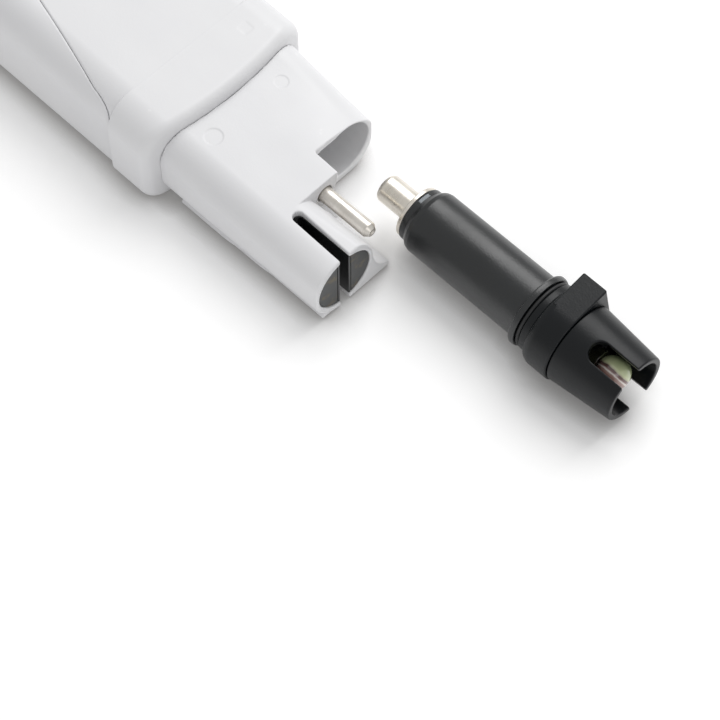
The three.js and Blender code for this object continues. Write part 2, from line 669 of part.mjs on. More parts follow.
// Collar with one squared-off quarter, which the fingers or a key turn.
function lockingCollar() {
  const lugSide = 8.5;
  const lugTop = 7.45;
  const lugLow = -3;
  const neckRadius = FLANGE_RADIUS - 0.2;
  const grooveRadius = RING_CENTRE_RADIUS - RING_SECTION - SMALL;
  const round = turned([
    [0, COLLAR_FRONT_Y], [COLLAR_RADIUS - 0.3, COLLAR_FRONT_Y], [COLLAR_RADIUS, COLLAR_FRONT_Y + 0.3],
    [COLLAR_RADIUS, SHOULDER_REAR_Y - 1.6], [COLLAR_RADIUS - 0.3, SHOULDER_REAR_Y - 0.9],
    [neckRadius, SHOULDER_REAR_Y], [neckRadius, NECK_REAR_Y], [grooveRadius, NECK_REAR_Y],
    [grooveRadius, STOP_FRONT_Y - SMALL], [0, STOP_FRONT_Y - SMALL],
  ]);
  const corner = Math.hypot(lugSide, lugTop);
  const tangentAngle = Math.atan2(lugTop, lugSide) + Math.acos((COLLAR_RADIUS - 0.05) / corner);
  const lug = new THREE.Shape();
  lug.moveTo(0, lugLow);
  lug.lineTo(lugSide, lugLow);
  lug.lineTo(lugSide, lugTop);
  lug.lineTo(COLLAR_RADIUS * Math.cos(tangentAngle), COLLAR_RADIUS * Math.sin(tangentAngle));
  return carve(round, {
    add: [alongY(lug, COLLAR_FRONT_Y, LUG_REAR_Y)],
    cut: [rod(3.4, -60, -50, 0, 0, 3.4, 28)],
  });
}

place('locking_collar', lockingCollar(), blackPlastic, electrode);

function bulbGuard() {
  const rearY = COLLAR_FRONT_Y - SMALL;
  const baseRadius = 7.9;
  const endRadius = 6.7;
  const stemRoom = 3.5;
  const slotHalf = 2.1;
  const slotRearY = -61;
  const floorY = -59.6;
  const shell = turned([
    [GUARD_INNER_RADIUS, GUARD_END_Y], [endRadius - 0.3, GUARD_END_Y], [endRadius, GUARD_END_Y + 0.4],
    [baseRadius, rearY], [stemRoom, rearY], [stemRoom, floorY + 0.2], [GUARD_INNER_RADIUS, floorY],
    [GUARD_INNER_RADIUS, GUARD_END_Y],
  ]);
  const slot = new THREE.Shape();
  slot.moveTo(-slotHalf, GUARD_END_Y - 1);
  slot.lineTo(slotHalf, GUARD_END_Y - 1);
  slot.lineTo(slotHalf, slotRearY - slotHalf);
  slot.absarc(0, slotRearY - slotHalf, slotHalf, 0, Math.PI, false);
  const slotTool = alongZ(slot, -9, 9).rotateY(THREE.MathUtils.degToRad(GUARD_ROLL));
  const junctionHole = rod(0.8, slotRearY, rearY - 1, JUNCTION_X, 0, 0.8, 16);
  return carve(shell, { cut: [slotTool, junctionHole] });
}

place('bulb_guard', bulbGuard(), blackPlastic, electrode);
place('glass_stem', turned([
  [0, STEM_END_Y], [2.4, STEM_END_Y], [2.4, -53.5], [0, -53.5],
], 0, 0, 28), pinkGlass, electrode);

function glassBulb() {
  const neckY = STEM_END_Y - SMALL;
  const profile = [[0, neckY]];
  const steps = 9;
  const start = Math.asin((neckY - BULB_Y) / BULB_RADIUS);
  for (let i = 0; i <= steps; i += 1) {
    const angle = start - (i / steps) * (start + Math.PI / 2);
    profile.push([BULB_RADIUS * Math.cos(angle), BULB_Y + BULB_RADIUS * Math.sin(angle)]);
  }
  profile[profile.length - 1][0] = 0;
  return turned(profile.reverse(), 0, 0, 28);
}

place('glass_bulb', glassBulb(), pinkGlass, electrode);
place('junction_plug', turned([
  [0, -60.3], [0.7, -60.3], [0.7, -57.9], [0, -57.9],
], JUNCTION_X, 0, 16), whiteInsulator, electrode);

// ---- Origin -------------------------------------------------------------------------------------

parts.position.set(0, -(GUARD_END_Y + CAP_REAR_Y) / 2, 0);

const waterQualityProbe = new THREE.Group();
waterQualityProbe.add(parts);

export default waterQualityProbe;
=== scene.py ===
"""Looks of the pocket water quality probe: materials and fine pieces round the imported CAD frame."""
import math

import bpy
import numpy as np
from mathutils import Matrix, Vector


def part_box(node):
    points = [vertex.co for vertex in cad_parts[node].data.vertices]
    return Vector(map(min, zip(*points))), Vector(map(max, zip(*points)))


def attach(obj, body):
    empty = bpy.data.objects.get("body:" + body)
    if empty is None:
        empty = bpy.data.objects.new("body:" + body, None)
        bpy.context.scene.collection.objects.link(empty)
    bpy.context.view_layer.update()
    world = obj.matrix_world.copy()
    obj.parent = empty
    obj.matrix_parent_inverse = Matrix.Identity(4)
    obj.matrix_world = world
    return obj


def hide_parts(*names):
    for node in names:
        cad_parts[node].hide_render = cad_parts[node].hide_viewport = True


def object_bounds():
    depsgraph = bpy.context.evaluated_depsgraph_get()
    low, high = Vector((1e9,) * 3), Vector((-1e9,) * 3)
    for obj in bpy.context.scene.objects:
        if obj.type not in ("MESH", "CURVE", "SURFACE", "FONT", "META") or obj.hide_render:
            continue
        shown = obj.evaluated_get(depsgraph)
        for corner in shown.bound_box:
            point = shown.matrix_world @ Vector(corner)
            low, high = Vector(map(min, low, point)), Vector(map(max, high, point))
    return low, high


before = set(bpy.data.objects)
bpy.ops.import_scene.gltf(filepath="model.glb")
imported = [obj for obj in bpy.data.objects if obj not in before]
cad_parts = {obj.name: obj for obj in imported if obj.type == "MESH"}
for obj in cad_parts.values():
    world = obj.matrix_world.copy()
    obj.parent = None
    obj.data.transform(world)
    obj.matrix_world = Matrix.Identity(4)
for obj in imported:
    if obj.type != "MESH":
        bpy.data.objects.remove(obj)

MM = 0.001
cad_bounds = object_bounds()
scene = bpy.context.scene
scene.view_settings.view_transform = "Standard"


# ---- Camera, floor and light --------------------------------------------------------------------

CAMERA_TARGET = Vector((-15.94, -59.12, 0)) * MM
CAMERA_AZIMUTH = math.radians(-45.37)
CAMERA_ELEVATION = math.radians(60.06)
CAMERA_DISTANCE = 0.45
CAMERA_LENS = 128.18
SENSOR_WIDTH = 36
CLIP_RANGE = (0.01, 20)

FLOOR_SIZE = 6
FLOOR_GAP = 0.00005
WORLD_STRENGTH = 0.6
# Each light's name, place, target, size and radiance.
LIGHTS = (
    ("key", (0.55, 0.1, 0.75), (0, 0, 0), (0.7, 0.7), 3.5),
    ("fill", (-0.35, -0.75, 0.7), (0, -0.02, 0), (0.5, 0.35), 1.2),
)


def look_matrix(place, target):
    """Stands at place and looks along its own -Z at target, with Z up."""
    forward = (target - place).normalized()
    right = forward.cross(Vector((0, 0, 1))).normalized()
    up = right.cross(forward)
    turn = Matrix((right, up, -forward)).transposed().to_4x4()
    return Matrix.Translation(place) @ turn


def direction_from(azimuth, elevation):
    """From the target towards a camera that looks along +Y at azimuth 0."""
    return Vector((
        math.sin(azimuth) * math.cos(elevation),
        -math.cos(azimuth) * math.cos(elevation),
        math.sin(elevation),
    ))


def add_camera():
    data = bpy.data.cameras.new("camera")
    data.lens = CAMERA_LENS
    data.sensor_width = SENSOR_WIDTH
    data.clip_start, data.clip_end = CLIP_RANGE
    camera = bpy.data.objects.new("camera", data)
    scene.collection.objects.link(camera)
    place = CAMERA_TARGET + CAMERA_DISTANCE * direction_from(CAMERA_AZIMUTH, CAMERA_ELEVATION)
    camera.matrix_world = look_matrix(place, CAMERA_TARGET)
    scene.camera = camera


def add_area_light(name, place, target, size, radiance):
    data = bpy.data.lights.new(name, "AREA")
    data.shape = "RECTANGLE"
    data.size, data.size_y = size
    data.energy = radiance * math.pi * size[0] * size[1]
    light = bpy.data.objects.new(name, data)
    scene.collection.objects.link(light)
    light.matrix_world = look_matrix(Vector(place), Vector(target))


def add_world():
    world = bpy.data.worlds.new("studio")
    scene.world = world
    world.use_nodes = True
    background = world.node_tree.nodes["Background"]
    background.inputs["Color"].default_value = (1, 1, 1, 1)
    background.inputs["Strength"].default_value = WORLD_STRENGTH


def build_studio():
    add_camera()
    bpy.ops.mesh.primitive_grid_add(x_subdivisions=24, y_subdivisions=24, size=FLOOR_SIZE)
    floor = bpy.context.object
    floor.name = "floor"
    lowest = cad_bounds[0][2]
    floor.location = (0, 0, lowest - FLOOR_GAP)
    floor.data.materials.append(floor_material())
    add_world()
    for light in LIGHTS:
        add_area_light(*light)


# ---- Dimensions, in millimetres -----------------------------------------------------------------
#
# X runs from the middle of the case, Y from the mouth of the pH socket, Z from the table.

GUARD_END_Y = -69.8
MOUTH_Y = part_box("bulb_guard")[0].y / MM - GUARD_END_Y
FIT = 0.3

# Probe housing: a rounded bar that widens towards the head on the socket's side.
HOUSING_HALF = 16.7
HOUSING_FOOT_Z, HOUSING_TOP = 0.3, 16
HOUSING_LOW_RADIUS, HOUSING_HIGH_RADIUS = 6.2, 5.6
WAIST_Z = 8.2
FLARE = 0.002
CROWN, CROWN_END_Y = 0.0105, 18
TOP_RISE = 0.06
DRAW_IN, DRAW_IN_Y = 0.0009, 8
SPIGOT = (-16, 16.3, 1.5, 15.6, 5, 5)
SPIGOT_SPAN = (17, 27)
LIP_EDGE_X, LIP_GROWTH, LIP_REACH = -15.35, 0.035, 0.35
LIP_SPAN = (1, 3)
LIP_SLOPE = (0.755, 0.655)
MARKS = ((-8.6, 14.6, 1.75, 0.1), (8.3, 14.7, 1.35, 0.08))
MARK_SOFTNESS = 0.4

# pH socket, with its bore in three steps, and the block beside it.
AXIS_X, AXIS_Z = 9.45, 8.2
BORE_RADIUS = 6.45
BORES = ((BORE_RADIUS - 0.06, 26.3, 0.45), (5.85, 36, 0.2), (3.4, 40, 0.2))
ROOM_RADIUS = 8.7
SOCKET_TUBE_RADIUS = 6.65
SOCKET_TUBE_SPAN = (26, 37.5)
BLOCK_END_Y = -5.75
BLOCK_SIDE_X = 2.2

# Temperature pin, and the notch in the block at its foot.
PIN_X, PIN_Z = -1.1, 12.1
PIN_RADIUS = 1.5
PIN_TIP_Y, PIN_FOOT_Y = -17.4, 7.5
PIN_HOLE_RADIUS, PIN_HOLE_END_Y = 1.75, 12
NOTCH_SIDES = (-4.6, 1.5)
NOTCH_FLOOR_Z = 9.5
NOTCH_TAPER = 0.3

# Conductivity cell.
CELL_X, CELL_Z = -9.35, 7.7
CELL_RADIUS = 6.3
CELL_END_Y, CELL_HOLE_END_Y = -18.9, 6
CELL_FACE_Y = CELL_END_Y + 0.25
CELL_BACK_Y = 5.5
CELL_WALL = 0.9
LINER = 0.45
SLOT_WIDTH = 2.2
SLOT_ROUND_Y = -7.5

# Head, seams, window, keys and battery cap.
MIDDLE_HALF = 19.8
UPPER_HALF = 19
HEAD_TOP = 20
HEAD_FRONT_Y = 20
HEAD_NOSE_Y = 18.7
HEAD_BOW = 0.0063
HEAD_LEAN, HEAD_LEAN_Z = 0.03, 10
HEAD_LOW_RADIUS, HEAD_HIGH_RADIUS = 3.6, 6.5
HEAD_REAR_Y = 114
WALL, FACE_WALL = 1.7, 1.2
SEAM_Y = 30.6
SEAM_GAP = 0.04
SEAM_FILLET = 0.32
CAP_FRONT_Y = 115
CAP_REAR_Y = 130
WINDOW_HALF, WINDOW_Y0, WINDOW_Y1 = 14.2, 72, 103
KEY_X, KEY_Y = 8, 56
KEY_HALF_X, KEY_HALF_Y, KEY_CORNER = 5, 3.5, 3.4
SCREWS = ((-15.6, 3.9), (15.6, 3.9), (-15, 17.4), (15, 17.4))
SCREW_HOLE_RADIUS, BOSS_RADIUS = 1.3, 2.6

# pH electrode.
PLUG_BASE_Y = -17.8
PLUG_RADIUS = 2.75
FLANGE_REAR_Y = -18.7
FLANGE_RADIUS = 5.2
COLLAR_REAR_Y = -20
TUBE_RADIUS = 6.3
TUBE_FRONT_Y = -46.7
STOP_FRONT_Y = -48.1
STOP_RADIUS = 7.3
NECK_REAR_Y = -49.1
SHOULDER_REAR_Y = -50
COLLAR_RADIUS = 8.2
COLLAR_FRONT_Y = -56.5
LUG_SIDE, LUG_TOP, LUG_LOW, LUG_REAR_Y = 8.5, 7.45, -3, -51.1
GUARD_END_RADIUS, GUARD_BASE_RADIUS = 6.7, 7.9
GUARD_HOLLOW_RADIUS, GUARD_HOLLOW_Y = 5.6, -59.6
GUARD_SLOT_HALF, GUARD_SLOT_ROUND_Y = 2.1, -63.1
STEM_HOLE_RADIUS = 3.4
STEM_RADIUS = 2.4
STEM_REAR_Y, STEM_END_Y = -53.5, -62.1
BULB_Y = -65
BULB_RADIUS = 3.15
RING_Y, RING_RADIUS, RING_SECTION = -48.6, 6.5, 0.4


# ---- Node materials -----------------------------------------------------------------------------

class Nodes:
    """Short calls for making one material's node tree."""

    def __init__(self, name):
        self.material = bpy.data.materials.new(name)
        self.material.use_nodes = True
        self.tree = self.material.node_tree
        self.shader = self.tree.nodes["Principled BSDF"]
        texture_space = self.tree.nodes.new("ShaderNodeTexCoord")
        self.place = texture_space.outputs["Object"]

    def put(self, socket, value):
        if isinstance(value, bpy.types.NodeSocket):
            self.tree.links.new(value, socket)
        else:
            socket.default_value = value

    def shade(self, **values):
        """Sets sockets of the main shader by name, with _ for a blank."""
        for key, value in values.items():
            socket = self.shader.inputs[key.replace("_", " ")]
            if isinstance(value, tuple) and len(value) == 3:
                value = (*value, 1)
            self.put(socket, value)

    def stretch(self, scale):
        node = self.tree.nodes.new("ShaderNodeMapping")
        self.put(node.inputs["Vector"], self.place)
        node.inputs["Scale"].default_value = scale
        return node.outputs["Vector"]

    def noise(self, scale, detail=2.0, roughness=0.5, source=None):
        node = self.tree.nodes.new("ShaderNodeTexNoise")
        self.put(node.inputs["Vector"], source or self.place)
        node.inputs["Scale"].default_value = scale
        node.inputs["Detail"].default_value = detail
        node.inputs["Roughness"].default_value = roughness
        return node.outputs["Fac"]

    def cells(self, scale):
        node = self.tree.nodes.new("ShaderNodeTexVoronoi")
        self.put(node.inputs["Vector"], self.place)
        node.inputs["Scale"].default_value = scale
        return node.outputs["Distance"]

    def remap(self, value, low, high, out_low, out_high):
        node = self.tree.nodes.new("ShaderNodeMapRange")
        self.put(node.inputs["Value"], value)
        node.inputs["From Min"].default_value = low
        node.inputs["From Max"].default_value = high
        node.inputs["To Min"].default_value = out_low
        node.inputs["To Max"].default_value = out_high
        return node.outputs["Result"]

    def sums(self, operation, first, second):
        node = self.tree.nodes.new("ShaderNodeMath")
        node.operation = operation
        self.put(node.inputs[0], first)
        self.put(node.inputs[1], second)
        return node.outputs[0]

    def ramp(self, value, stops):
        node = self.tree.nodes.new("ShaderNodeValToRGB")
        self.put(node.inputs["Fac"], value)
        band = node.color_ramp
        while len(band.elements) < len(stops):
            band.elements.new(0.5)
        for element, (position, colour) in zip(band.elements, stops):
            element.position = position
            element.color = (*colour, 1)
        return node.outputs["Color"]

    def mix(self, factor, first, second):
        node = self.tree.nodes.new("ShaderNodeMix")
        node.data_type = "RGBA"
        self.put(node.inputs[0], factor)
        for socket, value in ((node.inputs[6], first), (node.inputs[7], second)):
            self.put(socket, (*value, 1) if isinstance(value, tuple) else value)
        return node.outputs[2]

    def edges(self):
        """How far the surface is a convex edge, from about 0.5 on a flat."""
        node = self.tree.nodes.new("ShaderNodeNewGeometry")
        return node.outputs["Pointiness"]

    def painted_shadow_openness(self, reach):
        """How open the space over the surface is within reach, 1 where nothing stands near; it sets
        where shade is painted.
        """
        node = self.tree.nodes.new("ShaderNodeAmbientOcclusion")
        node.samples = 8
        node.inputs["Distance"].default_value = reach
        return node.outputs["AO"]

    def apart(self):
        node = self.tree.nodes.new("ShaderNodeSeparateXYZ")
        self.put(node.inputs[0], self.place)
        return node.outputs["X"], node.outputs["Y"], node.outputs["Z"]

    def bump(self, height, distance, strength=1.0, base=None):
        node = self.tree.nodes.new("ShaderNodeBump")
        self.put(node.inputs["Height"], height)
        node.inputs["Distance"].default_value = distance
        node.inputs["Strength"].default_value = strength
        if base is not None:
            self.put(node.inputs["Normal"], base)
        return node.outputs["Normal"]


def srgb(text):
    """The linear colour of a six-digit web colour."""
    values = [int(text[i:i + 2], 16) / 255 for i in (0, 2, 4)]
    return tuple(v / 12.92 if v <= 0.04045 else ((v + 0.055) / 1.055) ** 2.4 for v in values)


# How far from the object the floor's painted contact shadow reaches.
PAINTED_SHADOW_REACH = 0.005


def floor_material():
    """Pale paper with a painted contact shadow: darker where the object stands close over it."""
    n = Nodes("floor")
    drift = n.noise(2.2, 2)
    paper = n.ramp(drift, [(0.3, srgb("fcfcfc")), (0.7, srgb("fdfdfd"))])
    # Painted contact shadow: the paper turns towards a5a3a1 where the object stands close over it.
    painted_shadow_openness = n.remap(n.painted_shadow_openness(PAINTED_SHADOW_REACH), 0.4, 0.95, 0, 1)
    n.shade(
        Base_Color=n.mix(painted_shadow_openness, srgb("a5a3a1"), paper),
        Roughness=0.9,
        Emission_Color=(1.0, 1.0, 1.0),
        Emission_Strength=0.1,
    )
    n.shader.inputs["Specular IOR Level"].default_value = 0.1
    return n.material


def moulded_plastic(name, low, high, gloss, grain=0.000012, shine=0.5):
    """Injection-moulded plastic: faint flow marks, fine spark-eroded grain, paler rubbed edges."""
    n = Nodes(name)
    flow = n.noise(45, 3, 0.55, n.stretch((1, 0.35, 1)))
    fine = n.noise(2600, 3, 0.6)
    pits = n.noise(900, 2, 0.5)
    body = n.ramp(flow, [(0.3, srgb(low)), (0.7, srgb(high))])
    rubbed = n.remap(n.edges(), 0.52, 0.62, 0, 0.35)
    bright = tuple(min(1.0, c * 1.08 + 0.01) for c in srgb(high))
    n.shade(
        Base_Color=n.mix(rubbed, body, bright),
        Roughness=n.remap(n.noise(130, 3), 0.3, 0.7, gloss - 0.04, gloss + 0.05),
        Normal=n.bump(pits, grain * 1.2, 0.6, n.bump(fine, grain)),
    )
    n.shader.inputs["Specular IOR Level"].default_value = shine
    return n.material


def turned_metal(name, low, high, gloss):
    """Plated metal with fine tool marks round its axis, and faint handling haze."""
    n = Nodes(name)
    marks = n.noise(1.0, 3, 0.7, n.stretch((12, 2600, 12)))
    haze = n.noise(260, 4, 0.6)
    blend = n.sums("ADD", n.sums("MULTIPLY", haze, 0.7), n.sums("MULTIPLY", marks, 0.3))
    n.shade(
        Base_Color=n.ramp(blend, [(0.25, srgb(low)), (0.75, srgb(high))]),
        Metallic=1.0,
        Roughness=n.remap(haze, 0.3, 0.7, gloss - 0.05, gloss + 0.08),
        Normal=n.bump(marks, 0.000004, 0.7),
    )
    return n.material


def rubber_material():
    n = Nodes("black_rubber")
    n.shade(
        Base_Color=n.ramp(n.noise(240, 3), [(0.3, srgb("0f1011")), (0.7, srgb("1b1c1e"))]),
        Roughness=n.remap(n.noise(500, 3), 0.3, 0.7, 0.42, 0.6),
        Normal=n.bump(n.noise(1600, 3), 0.00001, 0.8),
    )
    return n.material


def graphite_material():
    """Dense dark composite with warm, partly metallic flecks in streaks along the cell; their pale
    brown is a painted glint.
    """
    n = Nodes("cell_graphite")
    grain = n.noise(900, 4, 0.65)
    cloud = n.noise(1.0, 2, 0.5, n.stretch((330, 120, 420)))
    # Painted glint: warm brown flecks, a little metallic, where the streaky cloud and the grain meet.
    painted_glint_fleck = n.sums("MULTIPLY", n.remap(cloud, 0.53, 0.62, 0, 1), n.remap(grain, 0.42, 0.6, 0.1, 1))
    dark = n.ramp(grain, [(0.3, srgb("17191a")), (0.7, srgb("3b3e3e"))])
    n.shade(
        # Mixes the painted glint's pale brown into the dark grain.
        Base_Color=n.mix(n.sums("MULTIPLY", painted_glint_fleck, 0.45), dark, srgb("7d6c4b")),
        Metallic=n.sums("MULTIPLY", painted_glint_fleck, 0.3),
        Roughness=n.remap(grain, 0.3, 0.7, 0.3, 0.46),
        Normal=n.bump(grain, 0.00003, 0.7),
    )
    return n.material


# Painted reflections across the bulb, from its lower side to its upper: dark and brown bands with
# pale lines, a near-white painted highlight, then pale green on top.
BULB_PAINTED_REFLECTIONS = (
    (0.0, "1d1c16"), (0.22, "2c2620"), (0.27, "d8d2c8"), (0.32, "8d6a64"), (0.39, "a98d84"),
    (0.42, "efe9e2"), (0.46, "7a5752"), (0.52, "574340"), (0.55, "b9b497"), (0.59, "ccd3a8"),
    (0.76, "b3bd92"), (0.9, "7d8765"), (1.0, "454a36"),
)


def electrode_glass_material():
    """Sensor glass: painted reflections and a painted highlight across the bulb, pale green above and
    banded brown and white below; dark stem.
    """
    n = Nodes("electrode_glass")
    x, y, z = n.apart()
    sideways = n.sums("MULTIPLY", n.sums("SUBTRACT", x, AXIS_X * MM), 0.92)
    upward = n.sums("MULTIPLY", n.sums("SUBTRACT", z, AXIS_Z * MM), 0.39)
    wander = n.sums("MULTIPLY", n.sums("SUBTRACT", n.noise(420, 2), 0.5), 0.0008)
    across = n.sums("ADD", n.sums("ADD", sideways, upward), wander)
    # The bulb's painted reflections and highlight, laid in bands across it.
    bulb = n.ramp(
        n.remap(across, -BULB_RADIUS * MM, BULB_RADIUS * MM, 0, 1),
        [(place, srgb(colour)) for place, colour in BULB_PAINTED_REFLECTIONS],
    )
    stem = n.ramp(n.noise(500, 3), [(0.35, srgb("0e0f0b")), (0.65, srgb("2c2d22"))])
    stem_y = MOUTH_Y + STEM_END_Y
    in_stem = n.remap(y, (stem_y - 0.5) * MM, (stem_y + 0.1) * MM, 0, 1)
    n.shade(
        Base_Color=n.mix(in_stem, bulb, stem),
        Roughness=n.remap(n.noise(300, 3), 0.3, 0.7, 0.08, 0.16),
        Normal=n.bump(n.noise(700, 2), 0.000008, 0.5),
    )
    n.shader.inputs["Coat Weight"].default_value = 1.0
    n.shader.inputs["Coat Roughness"].default_value = 0.03
    return n.material


def clear_window_material():
    n = Nodes("clear_window")
    haze = n.noise(180, 3)
    n.shade(
        Base_Color=n.ramp(haze, [(0.3, srgb("f2f6f6")), (0.7, srgb("fbfdfd"))]),
        Roughness=n.remap(haze, 0.3, 0.7, 0.03, 0.08),
        Transmission_Weight=0.96,
        IOR=1.49,
        Normal=n.bump(n.noise(600, 2), 0.000002, 0.5),
    )
    return n.material


def lcd_material():
    """Grey-green display glass with the faint grid of its unlit electrodes."""
    n = Nodes("lcd")
    x, y, _ = n.apart()
    across = n.sums("PINGPONG", n.sums("MULTIPLY", x, 1000), 2.2)
    up = n.sums("PINGPONG", n.sums("MULTIPLY", y, 1000), 3.0)
    lines = n.sums("MINIMUM", n.remap(across, 0.1, 0.22, 0, 1), n.remap(up, 0.1, 0.22, 0, 1))
    body = n.ramp(n.noise(60, 2), [(0.3, srgb("8f9d8a")), (0.7, srgb("9cab96"))])
    n.shade(
        Base_Color=n.mix(n.remap(lines, 0, 1, 0.16, 0), body, srgb("5d6a5b")),
        Roughness=n.remap(n.noise(200, 2), 0.3, 0.7, 0.12, 0.2),
    )
    return n.material


def board_material():
    """Green solder mask over darker copper tracks."""
    n = Nodes("board_green")
    tracks = n.remap(n.cells(330), 0.42, 0.5, 0, 1)
    n.shade(
        Base_Color=n.mix(tracks, srgb("1c5537"), srgb("2c7a4d")),
        Roughness=n.remap(n.noise(500, 3), 0.3, 0.7, 0.3, 0.45),
        Normal=n.bump(tracks, 0.00002, 0.6),
    )
    return n.material


MATERIALS = {
    "white_shell": moulded_plastic("white_shell", "d9d9db", "e0e0e1", 0.42),
    "black_plastic": moulded_plastic("black_plastic", "07090b", "0e1214", 0.33, 0.000026, 0.7),
    "guard_plastic": moulded_plastic("guard_plastic", "05070a", "0b0f12", 0.36, 0.00002, 0.3),
    "key_grey": moulded_plastic("key_grey", "878c90", "969b9f", 0.48),
    "insulator": moulded_plastic("insulator", "ddd8c8", "ece8dc", 0.45),
    "nickel": turned_metal("nickel", "d2cbbe", "f8f3ea", 0.3),
    "steel": turned_metal("steel", "ccc6bc", "f4f0e9", 0.3),
    "gold_contact": turned_metal("gold_contact", "a97f36", "dcb866", 0.22),
    "black_rubber": rubber_material(),
    "cell_graphite": graphite_material(),
    "electrode_glass": electrode_glass_material(),
    "clear_window": clear_window_material(),
    "lcd": lcd_material(),
    "board_green": board_material(),
}


# ---- Shapes as distance fields, in millimetres --------------------------------------------------
#
# A field is negative inside the piece. Each skin is a net of quads drawn on the zero of its field.

NORMAL_REACH = 0.02
SETTLE_STEPS = 3
SETTLE_LIMIT = 0.12


def hypot(u, v):
    return np.sqrt(u * u + v * v)


def meet(a, b, radius):
    """What is inside both, with the edge between them rounded."""
    corner = hypot(np.maximum(a + radius, 0), np.maximum(b + radius, 0))
    return np.minimum(np.maximum(a, b), -radius) + corner


def join(a, b, radius):
    """What is inside either, with a fillet where they meet."""
    corner = hypot(np.maximum(radius - a, 0), np.maximum(radius - b, 0))
    return np.maximum(np.minimum(a, b), radius) - corner


def cut(a, b, radius):
    """What is inside a and outside b, with the edge between them rounded."""
    return meet(a, -b, radius)


def span(value, low, high):
    return np.maximum(low - value, value - high)


def disc(u, v, centre_u, centre_v, radius):
    return hypot(u - centre_u, v - centre_v) - radius


def rounded(u, v, u0, u1, v0, v1, low_radius, high_radius):
    """A rectangle whose two lower and two upper corners have their own radii."""
    middle_u, middle_v = (u0 + u1) / 2, (v0 + v1) / 2
    radius = np.where(v > middle_v, high_radius, low_radius)
    qu = np.abs(u - middle_u) - (u1 - u0) / 2 + radius
    qv = np.abs(v - middle_v) - (v1 - v0) / 2 + radius
    return np.minimum(np.maximum(qu, qv), 0) + hypot(np.maximum(qu, 0), np.maximum(qv, 0)) - radius


def polygon(u, v, corners):
    """A closed outline of straight sides."""
    nearest = None
    inside = False
    for (au, av), (bu, bv) in zip(corners, corners[1:] + corners[:1]):
        eu, ev = bu - au, bv - av
        wu, wv = u - au, v - av
        t = np.clip((wu * eu + wv * ev) / (eu * eu + ev * ev), 0, 1)
        gap = (wu - eu * t) ** 2 + (wv - ev * t) ** 2
        nearest = gap if nearest is None else np.minimum(nearest, gap)
        if ev != 0:
            inside = inside ^ (((av <= v) != (bv <= v)) & (u < eu * (v - av) / ev + au))
    return np.where(inside, -1, 1) * np.sqrt(nearest)


def smooth_step(share):
    return share * share * (3 - 2 * share)


def before_bow(x, y, shift=0.0):
    """Positive in front of the bowed front of the head."""
    return (HEAD_NOSE_Y + HEAD_BOW * x * x + shift - y) / np.sqrt(1 + (2 * HEAD_BOW * x) ** 2)


def unlean(y, z, base, top, pivot, slope):
    """Undoes the lean of a top that rises with Y."""
    stretch = 1 + slope * (y - pivot) / (top - base)
    return np.where(z > base, base + (z - base) / stretch, z)


def grid_lines(*spans):
    """Sample places along one axis, from (start, end, step) spans."""
    lines = [np.linspace(a, b, max(2, round((b - a) / step) + 1)) for a, b, step in spans]
    return np.unique(np.concatenate(lines).round(5))


def along(index, start, stop):
    slices = [slice(None)] * 3
    slices[index] = slice(start, stop)
    return tuple(slices)


def line_of(values, index):
    shape = [1, 1, 1]
    shape[index] = -1
    return values.reshape(shape)


def surface_net(values, grid):
    """Vertices and quads round the zero of a sampled field."""
    cells = [n - 1 for n in values.shape]
    total = np.zeros((*cells, 3))
    count = np.zeros(cells)
    edges = []
    for axis in range(3):
        a = values[along(axis, None, -1)]
        b = values[along(axis, 1, None)]
        crossing = (a < 0) != (b < 0)
        share = np.where(crossing, a / np.where(crossing, a - b, 1), 0)
        line = grid[axis]
        reached = line_of(line[:-1], axis) + share * line_of(np.diff(line), axis)
        first, second = [i for i in range(3) if i != axis]
        for i in (0, 1):
            for j in (0, 1):
                part = [slice(None)] * 3
                part[first] = slice(i, cells[first] + i)
                part[second] = slice(j, cells[second] + j)
                here = crossing[tuple(part)]
                count += here
                total[..., axis] += here * reached[tuple(part)]
                total[..., first] += here * line_of(grid[first][i:cells[first] + i], first)
                total[..., second] += here * line_of(grid[second][j:cells[second] + j], second)
        edges.append((axis, first, second, crossing, a < 0))
    active = count > 0
    number = np.zeros(cells, int)
    number[active] = np.arange(active.sum())
    points = total[active] / count[active][:, None]
    faces = []
    for axis, first, second, crossing, starts_inside in edges:
        inner = [slice(None)] * 3
        inner[first] = slice(1, -1)
        inner[second] = slice(1, -1)
        hits = np.argwhere(crossing[tuple(inner)])
        quad = []
        for i, j in ((0, 0), (1, 0), (1, 1), (0, 1)):
            cell = hits.copy()
            cell[:, first] += i
            cell[:, second] += j
            quad.append(number[tuple(cell.T)])
        quad = np.stack(quad, 1)
        outward = starts_inside[tuple(inner)][tuple(hits.T)]
        if axis == 1:
            outward = ~outward
        quad[~outward] = quad[~outward][:, ::-1]
        faces.append(quad)
    return points, np.concatenate(faces)


def slope_of(field, points):
    reach = NORMAL_REACH
    x, y, z = points.T
    return np.stack([
        field(x + reach, y, z) - field(x - reach, y, z),
        field(x, y + reach, z) - field(x, y - reach, z),
        field(x, y, z + reach) - field(x, y, z - reach),
    ], 1) / (2 * reach)


def row_frame(points):
    """From these dimensions to the frame's own place and metres."""
    return (points + np.array([0, MOUTH_Y, 0])) * MM


def make_object(name, vertices, faces, slot, body, nodes, normals):
    """A finished piece: its mesh, material, body, and the CAD nodes that it stands for."""
    mesh = bpy.data.meshes.new(name)
    mesh.from_pydata([tuple(v) for v in vertices], [], [tuple(int(i) for i in f) for f in faces])
    mesh.validate()
    mesh.shade_smooth()
    mesh.normals_split_custom_set_from_vertices([tuple(n) for n in normals])
    piece = bpy.data.objects.new(name, mesh)
    scene.collection.objects.link(piece)
    mesh.materials.append(MATERIALS[slot])
    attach(piece, body)
    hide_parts(*nodes)


